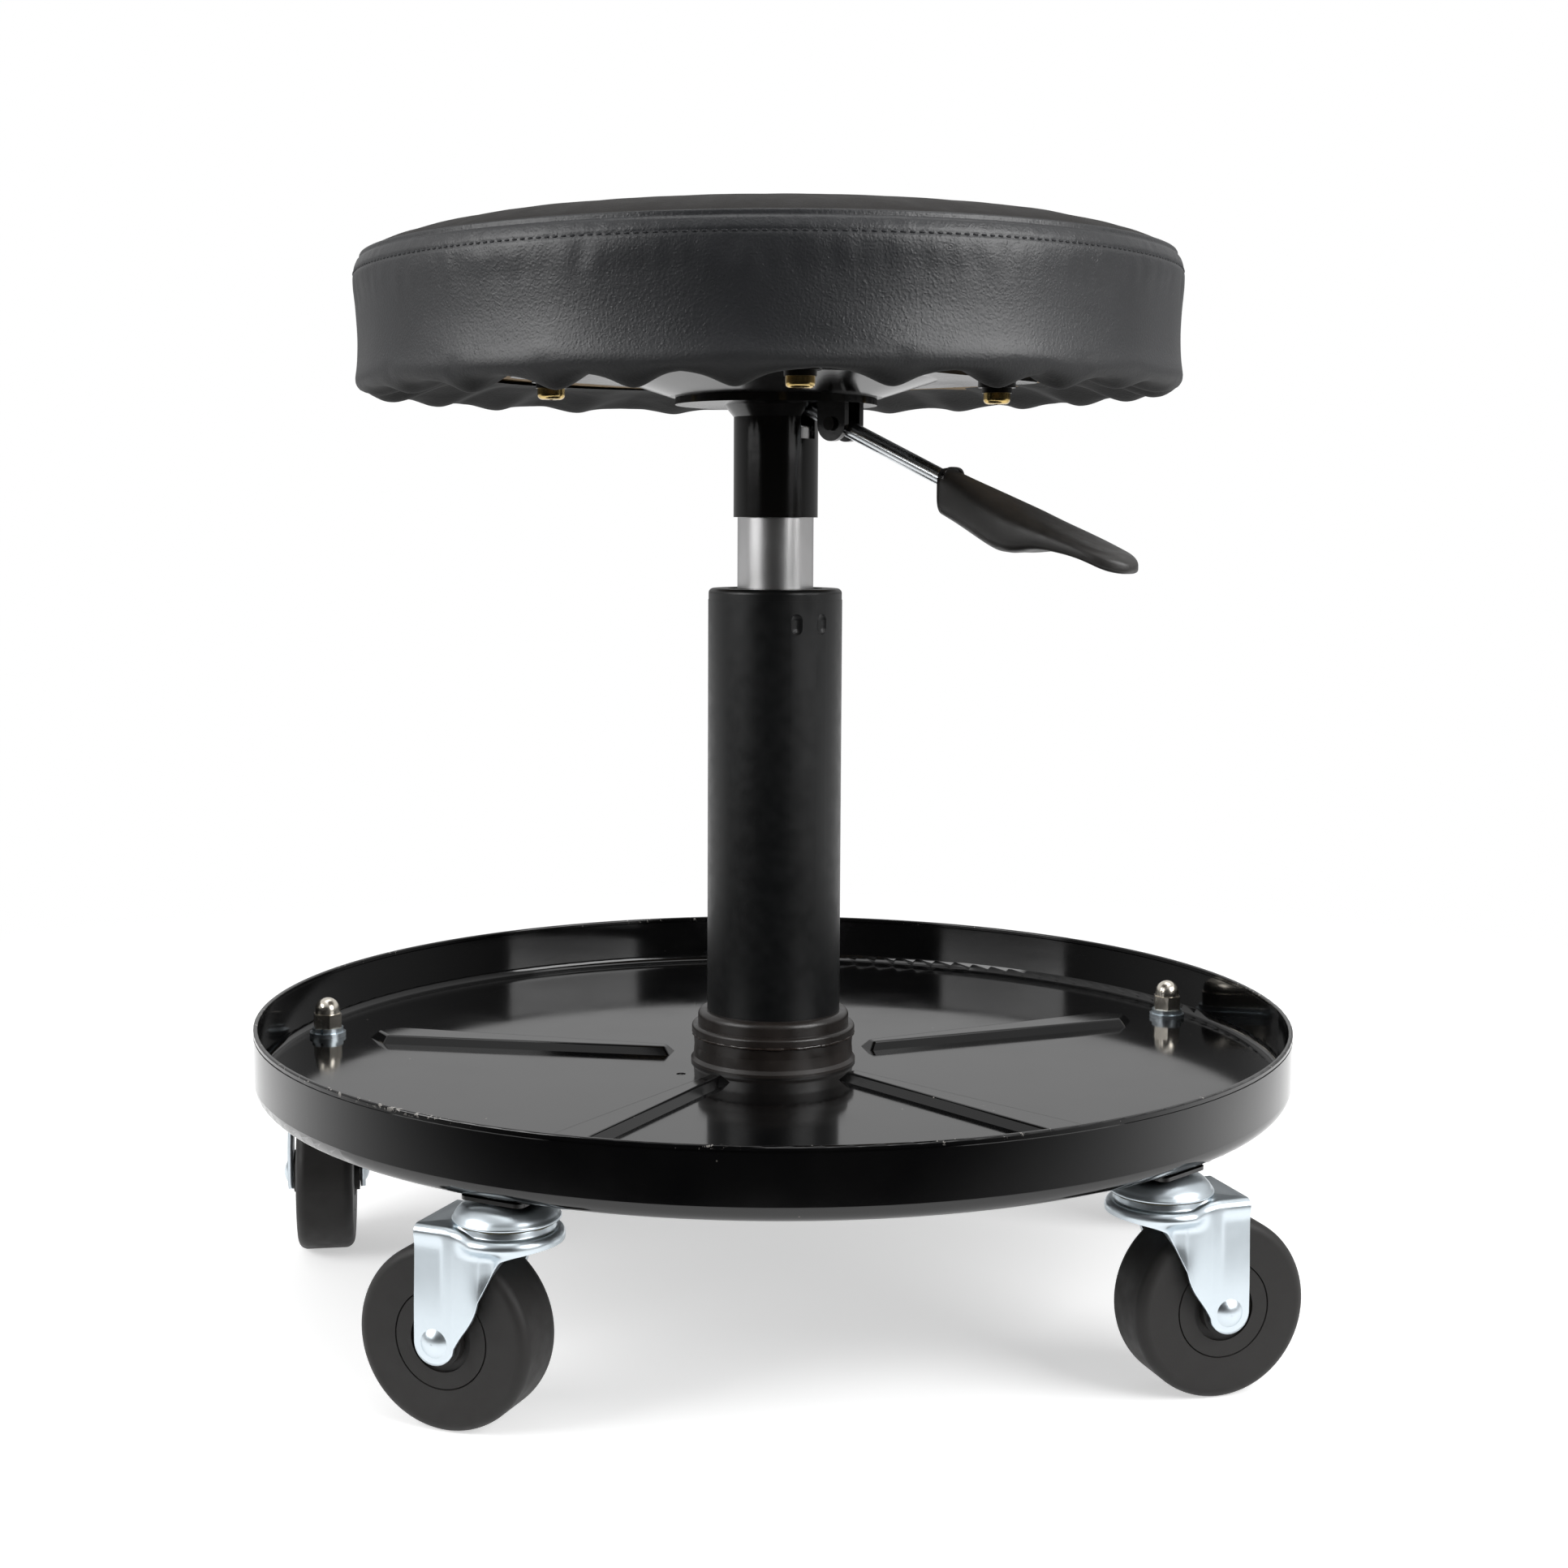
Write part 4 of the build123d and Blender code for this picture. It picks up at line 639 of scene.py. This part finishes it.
bead = grid_mesh("weld_bead", [np.concatenate([bead_points, bead_points[:1]])], closed=True)
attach(bead, "base")
material, tree, shader = start_material("enamel run over weld", IOR=1.5)
grain(tree, shader, 0.0014, 0.00006, rough=(0.12, 0.3), tint=("#100e0d", "#3a302b"))
bead.data.materials.append(material)

# Acorn nuts: turned steel nuts that hold the casters' stems in the tray, nickel plated
# The plate is a warm white that mirrors softly
material, tree, shader = start_material("bright nickel plate", Metallic=1.0)
grain(tree, shader, 0.002, 0.00001, rough=(0.2, 0.3), tint=("#d5cec2", "#eae4d8"))
finish_nodes(material, "acorn_nuts")

# Column: steel tube with its base and guide bush, in satin black powder coat
# The baked powder is even and half matt, so the lamps draw long soft streaks down the tube
material, tree, shader = start_material("satin black powder coat", IOR=1.43)
grain(tree, shader, 0.0006, 0.00001, rough=(0.34, 0.42), tint=("#090a0b", "#0e0f10"))
finish_nodes(material, "outer_tube", "tube_base", "guide_bush")

# Wiper seal and bump stop: moulded nitrile rubber, pressed in
# They are a dull black with hardly any shine
material, tree, shader = start_material("black nitrile rubber", IOR=1.52)
grain(tree, shader, 0.0005, 0.00001, rough=(0.5, 0.6), tint=("#101010", "#181818"))
finish_nodes(material, "wiper_seal", "bump_stop")

# Gas-lift cylinder: steel tube, ground round and hard chromed
# It mirrors brightly, in bands of light oil haze
material, tree, shader = start_material("ground hard chrome", Metallic=1.0)
grain(tree, shader, 0.006, 0.000002, rough=(0.22, 0.4), tint=("#b5b2ae", "#e4e5e8"))
finish_nodes(material, "lift_cylinder")

# Rod, piston, guide and valve of the gas lift, with the rod's washer and clip: turned from plain steel
# They are grey with a fine tool grain, and hidden in the tube
material, tree, shader = start_material("plain turned steel", Metallic=1.0)
grain(tree, shader, 0.001, 0.00001, rough=(0.25, 0.35), tint=("#8f9296", "#a5a8ac"))
finish_nodes(material, "piston_rod", "piston", "rod_washer", "rod_clip")
finish_nodes(material, "rod_guide", "valve_body", "valve_button")

# Lever rod: bright drawn steel bar, held in the bracket by its pin
# It is a cold white under a faint broad haze
material, tree, shader = start_material("bright drawn lever rod", Metallic=1.0)
grain(tree, shader, 0.004, 0.000002, rough=(0.22, 0.3), tint=("#d3d8dc", "#eceff1"))
finish_nodes(material, "lever_rod")

# Seat bolts and tee nuts: steel, zinc plated with a yellow passivation
# It gives them a pale brass colour
material, tree, shader = start_material("yellow zinc plate", Metallic=1.0)
grain(tree, shader, 0.002, 0.00001, rough=(0.15, 0.25), tint=("#b99a55", "#cdb884"))
finish_nodes(material, "seat_bolts", "tee_nuts")

# Seat washers: steel blacked in oil, nearly as dark as the enamel round them
# The lever pin is nickel plated; its near-black here is painted shade, the dark that its flat end mirrors
material, tree, shader = start_material("oiled black spring steel with painted shade on the pin", Metallic=0.6)
grain(tree, shader, 0.001, 0.00001, rough=(0.3, 0.45), tint=("#161514", "#22201e"))
finish_nodes(material, "seat_spring_washers", "seat_flat_washers", "lever_pin")

# Lever grip: one moulded nylon paddle, a blunt block round the rod that thins to a broad tongue
# Its underside is hollowed for the fingers, its end is round, and every edge is soft from the mould
grip_azimuth = math.radians(-38.3)
grip_start_reach = 74.8
grip_length = 76.7
grip_half_width = 14.0
grip_block_height = 34
grip_face_share = 0.022
grip_tip_start = 0.88
grip_tip_share = 0.12
grip_squareness = 0.62
finger_hollow_depth = 2.2
thumb_dish_depth = 0.7
grip_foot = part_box("lever_grip")[0].z / mm
# Share of the length, then height over the foot for the two lines, and share of the half width for the sides
grip_top = [
    (0.0, 34.4), (0.035, 33.3), (0.224, 27.2), (0.465, 19.6),
    (0.701, 12.2), (0.913, 5.5), (0.97, 3.6), (1.0, 2.0),
]
grip_under = [
    (0.0, 17.8), (0.035, 17.0), (0.194, 11.2), (0.330, 6.2), (0.407, 4.2), (0.477, 3.0),
    (0.615, 4.0), (0.765, 2.4), (0.913, -1.2), (0.97, -2.4), (1.0, -2.2),
]
grip_sides = [
    (0.0, 0.46), (0.12, 0.56), (0.28, 0.82), (0.43, 0.97), (0.565, 1.0),
    (0.69, 0.98), (0.82, 0.9), (0.92, 0.76), (1.0, 0.6),
]
tip_stations = 1 - grip_tip_share * np.cos(np.linspace(0, math.pi / 2, 15))[1:]
grip_station = np.concatenate(
    [np.linspace(0, grip_face_share, 7), np.linspace(0.03, grip_tip_start, 44), tip_stations]
)


def along_grip(table):
    """A side view's or plan's smooth line read at every station along the grip."""
    points = smooth_path(table, np.linspace(0, 1, 400))
    return np.interp(grip_station, points[:, 0], points[:, 1])


top_line = along_grip(grip_top)
under_line = along_grip(grip_under)
into_face = np.clip(grip_face_share - grip_station, 0, None) / grip_face_share
into_tip = np.clip(grip_station - grip_tip_start, 0, None) / grip_tip_share
start_round = np.sqrt(np.clip(1 - into_face**2, 0, 1))
end_round = np.sqrt(np.clip(1 - into_tip**2, 0, 1))
half_width = grip_half_width * along_grip(grip_sides) * end_round * (0.86 + 0.14 * start_round)
half_height = (top_line - under_line) / 2 * np.sqrt(end_round) * (0.8 + 0.2 * start_round)
turn = np.radians(np.linspace(0, 360, 64, endpoint=False))
round_x = np.sign(np.cos(turn)) * np.abs(np.cos(turn)) ** grip_squareness
round_z = np.sign(np.sin(turn)) * np.abs(np.sin(turn)) ** grip_squareness
grip_x = half_width[:, None] * round_x
grip_z = ((top_line + under_line) / 2)[:, None] + half_height[:, None] * round_z
hollow = smooth_step(grip_station, 0.36, 0.5) * (1 - smooth_step(grip_station, 0.8, 0.93))
grip_z = grip_z + finger_hollow_depth * hollow[:, None] * (1 - np.abs(round_x) ** 2) * (round_z < 0)
dish = smooth_step(grip_station, 0.45, 0.62) * (1 - smooth_step(grip_station, 0.85, 0.96))
grip_z = grip_z - thumb_dish_depth * dish[:, None] * (1 - np.abs(round_x) ** 2) * (round_z > 0)
# The block's end face leans with the rod, most at its top
at_face = grip_station[:, None] < 0.03
face_lean = 0.045 * grip_length * (grip_z - grip_z.min()) / grip_block_height * at_face
grip_reach = grip_start_reach + grip_station[:, None] * grip_length + face_lean
grip_points = np.stack(
    [
        grip_reach * math.cos(grip_azimuth) - grip_x * math.sin(grip_azimuth),
        grip_reach * math.sin(grip_azimuth) + grip_x * math.cos(grip_azimuth),
        grip_foot + grip_z,
    ],
    -1,
)
first_face = np.repeat(grip_points[:1].mean(axis=1, keepdims=True), len(turn), axis=1)
last_face = np.repeat(grip_points[-1:].mean(axis=1, keepdims=True), len(turn), axis=1)
grip = grid_mesh("grip_paddle", [np.concatenate([first_face, grip_points, last_face])], closed=True)
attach(grip, "release_lever")
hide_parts("lever_grip")
# The mould leaves the nylon matt with a fine grain, so the paddle reads dark grey and never mirrors
material, tree, shader = start_material("matt moulded black nylon", IOR=1.5)
grain(tree, shader, 0.0005, 0.00003, rough=(0.4, 0.52), tint=("#1f1e1d", "#2f2d2b"))
grip.data.materials.append(material)

# Seat board: birch plywood, sawn round, with the foam and cover drawn over it
# The bare wood is pale and dull
material, tree, shader = start_material("birch plywood", IOR=1.5)
grain(tree, shader, 0.001, 0.00002, rough=(0.6, 0.7), tint=("#a98a5e", "#c3a578"))
finish_nodes(material, "seat_board")

# Seat cover: black vinyl embossed with leather grain, a domed top panel sewn to a side band over foam
# The band is topstitched under the seam and gathered in folds under the board, where it hangs in lobes
# Foam and cover are one padded form that swells in a short cloth simulation before its seam is pressed in
seat_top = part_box("seat_cover")[1].z / mm
board_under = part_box("seat_board")[0].z / mm
seam_drop = 14.2
stitch_drop = 20.4
hem_drop = seat_top - board_under
# The pad leans as the lift's play lets it: down to the front and to the left
lean_front = math.radians(0.45)
lean_left = math.radians(0.50)
pad_shift = [-2.6, -0.6, 0]
# Directions of the lobes in degrees, the front ones as the photograph shows them
lobe_angles = np.array([
    -163, -147, -132, -117, -106, -93, -73, -58, -47, -34, -15, 2,
    16, 30, 44, 57, 70, 88, 108, 126, 143, 158, 175.0,
])
# The section as reach and drop from the crown's top: panel, band, and its fold in a valley and in a lobe
panel_section = [
    (0.0, 0.0), (40.0, 0.4), (75.0, 1.5), (100.0, 3.4),
    (120.0, 6.0), (134.0, 9.2), (141.8, 12.0), (146.2, seam_drop),
]
band_section = [
    (146.2, seam_drop), (147.9, 16.9), (149.0, 20.4), (149.1, 25.0),
    (148.3, 33.0), (147.8, 42.0), (148.1, 50.0), (148.9, hem_drop + 2.6),
]
valley_section = [
    (148.9, 2.6), (148.6, 4.8), (146.8, 6.6), (143.0, 6.4),
    (137.0, 3.6), (128.0, 1.4), (118.0, 0.8), (110.0, 1.0),
]
lobe_section = [
    (148.9, 2.6), (148.6, 5.0), (146.9, 8.0), (143.8, 10.8),
    (139.4, 12.2), (132.5, 10.2), (123.0, 5.0), (110.0, 1.0),
]
lobe_half_width = 4.2
side_lobe_strength = 0.6


def lobe_share(angle):
    """1 at the tip of each front lobe, less at the others, falling off as one over one plus distance squared.

    Distance is counted in half widths of a lobe."""
    away = np.abs((angle[:, None] - lobe_angles[None, :] + 180) % 360 - 180)
    from_front = np.abs(lobe_angles + 90)
    strength = 1 - (1 - side_lobe_strength) * smooth_step(from_front, 35, 75)
    return (strength / (1 + (away / lobe_half_width) ** 2)).max(axis=1)


def waves(angle, counts, size, seed):
    """A smooth closed ripple: sines of whole counts round the seat, with seeded strengths and phases."""
    dice = np.random.default_rng(seed)
    strengths = dice.uniform(0.4, 1.0, len(counts))
    phases = dice.uniform(0, 2 * math.pi, len(counts))
    total = sum(a * np.sin(c * np.radians(angle) + p) for a, c, p in zip(strengths, counts, phases))
    return total * size / math.sqrt(len(counts))


def cover_rows(angle, panel_shares, band_shares, fold_shares):
    """Reach and height of every point, rows from the crown to the hem: the sewn form with dents and lobes.

    Each ripple is weighted by a bell curve, e to the minus distance squared, round its own row."""
    panel = smooth_path(panel_section, panel_shares)
    band = smooth_path(band_section, band_shares)[1:]
    valley = smooth_path(valley_section, fold_shares)[1:] + [0, hem_drop]
    lobe = smooth_path(lobe_section, fold_shares)[1:] + [0, hem_drop]
    flat = np.vstack([panel, band])[:, None, :] + np.zeros((1, len(angle), 1))
    share = lobe_share(angle)[None, :, None]
    folds = valley[:, None, :] * (1 - share) + lobe[:, None, :] * share
    section = np.concatenate([flat, folds])
    reach, drop = section[..., 0], section[..., 1]
    below_band_top = smooth_step(drop, stitch_drop + 2, stitch_drop + 12)
    band_middle = below_band_top * (1 - smooth_step(drop, hem_drop + 1, hem_drop + 6))
    reach = reach + band_middle * waves(angle, [5, 8, 13, 19], 0.4, 3)
    below_stitch = np.exp(-(((drop - stitch_drop - 7) / 5) ** 2)) * (reach > 140)
    reach = reach + below_stitch * waves(angle, [61, 83, 97, 131], 0.15, 4)
    above_stitch = np.exp(-(((drop - stitch_drop + 3) / 2) ** 2)) * (reach > 146)
    reach = reach + above_stitch * waves(angle, [90, 123, 150], 0.1, 5)
    near_seam = np.exp(-(((reach - 132) / 12) ** 2)) * (drop < seam_drop)
    drop = drop + near_seam * waves(angle, [9, 14, 23, 37], 0.2, 6)
    return reach, seat_top - drop


def turned(reach, height, angle):
    """Points of rows of reach and height turned round the seat's axis by direction in degrees."""
    way = np.radians(angle)
    return np.stack([reach * np.cos(way), reach * np.sin(way), height], -1)


def outward(points):
    """Outward direction at each point of a closed grid: the cross product of its two running differences."""
    along = np.gradient(points, axis=0)
    around = np.roll(points, -1, axis=1) - np.roll(points, 1, axis=1)
    normal = np.cross(along, around)
    return normal / (np.linalg.norm(normal, axis=-1, keepdims=True) + 1e-9)


def swollen(points, pinned_rows, frames=14, inset=1.6, most=4.0):
    """How far each point of the pad moves when it starts a little small and is blown up as cloth.

    A move is cut off at the given most, and the rows named as pinned stay where the seams hold them."""
    start = points - outward(points) * inset
    pad = grid_mesh("pad_for_cloth", [start], closed=True, merge=False)
    columns = points.shape[1]
    pins = pad.vertex_groups.new(name="seams")
    pins.add([int(row * columns + k) for row in pinned_rows for k in range(columns)], 1.0, "REPLACE")
    cloth = pad.modifiers.new("cloth", "CLOTH")
    cloth.settings.quality = 5
    cloth.settings.mass = 0.3
    cloth.settings.tension_stiffness = 8
    cloth.settings.compression_stiffness = 8
    cloth.settings.bending_stiffness = 0.4
    cloth.settings.use_pressure = True
    cloth.settings.uniform_pressure_force = 4
    cloth.settings.shrink_min = -0.012
    cloth.settings.vertex_group_mass = "seams"
    cloth.settings.pin_stiffness = 1
    cloth.settings.effector_weights.gravity = 0
    cloth.collision_settings.use_collision = False
    cloth.point_cache.frame_start = 1
    cloth.point_cache.frame_end = frames
    for number in range(1, frames + 1):
        scene.frame_set(number)
    blown = pad.evaluated_get(bpy.context.evaluated_depsgraph_get()).data
    result = np.empty(len(blown.vertices) * 3)
    blown.vertices.foreach_get("co", result)
    scene.frame_set(1)
    bpy.data.objects.remove(pad)
    move = result.reshape(points.shape) / mm - points
    length = np.linalg.norm(move, axis=-1, keepdims=True)
    return move * np.minimum(1, most / (length + 1e-9))


def between_rows(values, old_shares, new_shares):
    """Rows of values read at new shares between the old ones, along straight lines."""
    place = np.interp(new_shares, old_shares, np.arange(len(old_shares)))
    low = np.minimum(place.astype(int), len(old_shares) - 2)
    part = (place - low)[:, None, None]
    return values[low] * (1 - part) + values[low + 1] * part


def running_shares(parts):
    """One growing share for all rows of the three parts of the section."""
    return np.concatenate([parts[0], 1 + parts[1][1:], 2 + parts[2][1:]])


few = [np.linspace(0.03, 1, 22), np.linspace(0, 1, 16), np.linspace(0, 1, 18)]
many = [
    np.concatenate([np.linspace(0, 0.9, 34), np.linspace(0.9, 0.985, 10)[1:], np.linspace(0.985, 1, 9)[1:]]),
    np.concatenate([np.linspace(0, 0.2, 36), np.linspace(0.2, 1, 46)[1:]]),
    np.linspace(0, 1, 52),
]
coarse_angle = np.linspace(-180, 180, 240, endpoint=False)
fine_angle = np.linspace(-180, 180, 720, endpoint=False)
cover_points = turned(*cover_rows(fine_angle, *many), fine_angle)
coarse = turned(*cover_rows(coarse_angle, *few), coarse_angle)
seam_row = len(few[0]) - 1
last_row = len(coarse) - 1
move = swollen(coarse, [seam_row, seam_row + 2, last_row - 2, last_row - 1, last_row])
# An even swelling would change the measured section, so the pad keeps only what varies round it
way = np.radians(coarse_angle)
across = move[..., 0] * np.cos(way) + move[..., 1] * np.sin(way)
around = move[..., 1] * np.cos(way) - move[..., 0] * np.sin(way)
across -= across.mean(axis=1, keepdims=True)
rise = move[..., 2] - move[..., 2].mean(axis=1, keepdims=True)
move = np.stack([across, around - around.mean(axis=1, keepdims=True), rise], -1)
move = between_rows(move, running_shares(few), running_shares(many))
shares = running_shares(many)
loose = 0.12 + 0.13 * smooth_step(shares, 1.0, 1.2) + 0.15 * smooth_step(shares, 1.8, 2.3)
move = np.repeat(move * loose[:, None, None], len(fine_angle) // len(coarse_angle), axis=1)
for _ in range(4):
    move = (np.roll(move, 1, axis=1) + 2 * move + np.roll(move, -1, axis=1)) / 4
way = np.radians(fine_angle)
cover_points[..., 0] += move[..., 0] * np.cos(way) - move[..., 1] * np.sin(way)
cover_points[..., 1] += move[..., 0] * np.sin(way) + move[..., 1] * np.cos(way)
cover_points[..., 2] += move[..., 2]

# The seam's turned edge stands proud with a dark line under it, and the topstitch lies in a shallow groove
welt_rise = 0.4
welt_groove_depth = 0.3
stitch_groove_depth = 0.25
welt_half_width = 0.8
welt_groove_run = 1.6
welt_groove_half_width = 0.6
stitch_groove_half_width = 0.8
band_inner_reach = 140
section_reach, section_height = cover_rows(fine_angle, *many)
middle = np.stack([section_reach.mean(axis=1), section_height.mean(axis=1)], 1)
run = np.concatenate([[0], np.cumsum(np.linalg.norm(np.diff(middle, axis=0), axis=1))])
seam_run = run[len(many[0]) - 1]
off_stitch = np.abs(seat_top - middle[:, 1] - stitch_drop)
off_stitch[middle[:, 0] < band_inner_reach] = np.inf
stitch_row = int(np.argmin(off_stitch))
beyond = run - seam_run
press = welt_rise * np.exp(-((beyond / welt_half_width) ** 2))
press -= welt_groove_depth * np.exp(-(((beyond - welt_groove_run) / welt_groove_half_width) ** 2))
press -= stitch_groove_depth * np.exp(-(((run - run[stitch_row]) / stitch_groove_half_width) ** 2))
cover_points += outward(cover_points) * press[:, None, None]
lean = Matrix.Rotation(lean_front, 3, "X") @ Matrix.Rotation(-lean_left, 3, "Y")
pivot = np.array([0, 0, board_under])
cover_points = (cover_points - pivot) @ np.array(lean).T + pivot + pad_shift
# The band is stretched and shines; the gathers under its lip are rough and dull, and their near-black colour
# is painted shade under the seat's lip
dull_shaded_tuck = np.repeat(smooth_step(running_shares(many), 1.9, 2.25), len(fine_angle))
cover = grid_mesh("seat_pad", [cover_points], closed=True, marks={"dull_shaded_tuck": dull_shaded_tuck})
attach(cover, "seat")
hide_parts("seat_cover", "seat_foam")

# Fine wandering wrinkles a little under a millimetre apart catch the light
# A broad haze in the gloss keeps the sheet from looking new
bends_per_metre = 600.0
bend_reach = 0.0006
wrinkles_per_metre = 1150.0
cells_per_metre = 1100.0
wrinkle_depth = 0.00008
haze_per_metre = 28.0
tucked_roughness = 0.85
material, tree, shader = start_material("black vinyl embossed with leather grain", IOR=1.56)
place = add(tree, "ShaderNodeTexCoord").outputs["Object"]
bend = add(tree, "ShaderNodeTexNoise", {"Vector": place, "Scale": bends_per_metre, "Detail": 2.0})
shift = add(tree, "ShaderNodeVectorMath", {0: bend.outputs["Color"], 3: bend_reach}, operation="SCALE")
wander = add(tree, "ShaderNodeVectorMath", {0: place, 1: shift.outputs[0]}, operation="ADD")
wrinkle = add(
    tree,
    "ShaderNodeTexNoise",
    {"Vector": wander.outputs[0], "Scale": wrinkles_per_metre, "Detail": 1.5, "Roughness": 0.6},
    noise_type="RIDGED_MULTIFRACTAL",
)
cells = add(
    tree,
    "ShaderNodeTexVoronoi",
    {"Vector": wander.outputs[0], "Scale": cells_per_metre},
    feature="SMOOTH_F1",
)
relief = add(tree, "ShaderNodeMath", {0: wrinkle.outputs[0], 1: cells.outputs["Distance"]}, operation="ADD")
bump = add(
    tree,
    "ShaderNodeBump",
    {"Height": relief.outputs[0], "Distance": wrinkle_depth, "Strength": 1.0},
)
tree.links.new(bump.outputs[0], shader.inputs["Normal"])
haze = add(tree, "ShaderNodeTexNoise", {"Vector": place, "Scale": haze_per_metre, "Detail": 4.0})
vary = add(tree, "ShaderNodeMapRange", {0: haze.outputs[0], 1: 0.3, 2: 0.7, 3: 0.38, 4: 0.48})
tucked_dull_and_shaded = add(tree, "ShaderNodeAttribute", attribute_name="dull_shaded_tuck").outputs["Fac"]
dull = add(tree, "ShaderNodeMix", {0: tucked_dull_and_shaded, 2: vary.outputs[0], 3: tucked_roughness})
tree.links.new(dull.outputs[0], shader.inputs["Roughness"])
tones = {0: haze.outputs[0], 6: linear("#1b1c1e"), 7: linear("#26272a")}
blend = add(tree, "ShaderNodeMix", tones, data_type="RGBA")
# Painted shade: where the mark is full, the gathers under the lip go to near black
tones = {0: tucked_dull_and_shaded, 6: blend.outputs[2], 7: linear("#070707")}
painted_shade_under_lip = add(tree, "ShaderNodeMix", tones, data_type="RGBA")
tree.links.new(painted_shade_under_lip.outputs[2], shader.inputs["Base Color"])
cover.data.materials.append(material)

# The top panel is the same vinyl worn matt by sitting, so it stays darker than the band where it turns away
material, tree, shader = start_material("black vinyl worn matt", IOR=1.5, Specular_IOR_Level=0.1)
grain(tree, shader, 0.0009, 0.0001, rough=(0.55, 0.68), tint=("#1d1c1b", "#2b2928"), detail=2.0)
cover.data.materials.append(material)
panel_faces = (len(many[0]) - 1) * len(fine_angle)
for face in cover.data.polygons[:panel_faces]:
    face.material_index = 1

# Topstitch: one line of black polyester thread, sewn through the band under the seam
# Each stitch is a short length of thread that dips into its holes at both ends
stitch_pitch = 3.0
stitch_sides = 6
stitch_stations = np.array([-1.2, -1.05, -0.6, 0.0, 0.6, 1.05, 1.2])
stitch_half_widths = np.array([0.05, 0.22, 0.34, 0.36, 0.34, 0.22, 0.05])
stitch_lifts = np.array([-0.45, -0.2, 0.08, 0.14, 0.08, -0.2, -0.45])
stitch_line = cover_points[stitch_row]
stitch_out = outward(cover_points)[stitch_row]
closed_line = np.vstack([stitch_line, stitch_line[:1]])
closed_out = np.vstack([stitch_out, stitch_out[:1]])
steps = np.linalg.norm(np.diff(closed_line, axis=0), axis=1)
around_length = np.concatenate([[0], np.cumsum(steps)])
stitch_count = int(around_length[-1] / stitch_pitch)
spots = (np.arange(stitch_count) + 0.5) * around_length[-1] / stitch_count
centre = np.stack([np.interp(spots, around_length, closed_line[:, k]) for k in range(3)], 1)
out_way = np.stack([np.interp(spots, around_length, closed_out[:, k]) for k in range(3)], 1)
along_way = np.cross([0, 0, 1.0], out_way)
along_way /= np.linalg.norm(along_way, axis=1, keepdims=True)
across_way = np.cross(out_way, along_way)
turn = np.linspace(0, 2 * math.pi, stitch_sides, endpoint=False)
ring_across = stitch_half_widths[:, None] * np.cos(turn)
ring_out = stitch_half_widths[:, None] * 0.8 * np.sin(turn) + stitch_lifts[:, None]
stitch_points = (
    centre[:, None, None, :]
    + along_way[:, None, None, :] * stitch_stations[None, :, None, None]
    + across_way[:, None, None, :] * ring_across[None, :, :, None]
    + out_way[:, None, None, :] * ring_out[None, :, :, None]
)
topstitch = grid_mesh("seat_topstitch", list(stitch_points), closed=True, merge=False)
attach(topstitch, "seat")
# Twisted thread is dull, with a fine grain that breaks up its shine
material, tree, shader = start_material("black polyester thread", IOR=1.5)
grain(tree, shader, 0.0002, 0.00004, rough=(0.5, 0.65), tint=("#07080b", "#10131a"))
topstitch.data.materials.append(material)
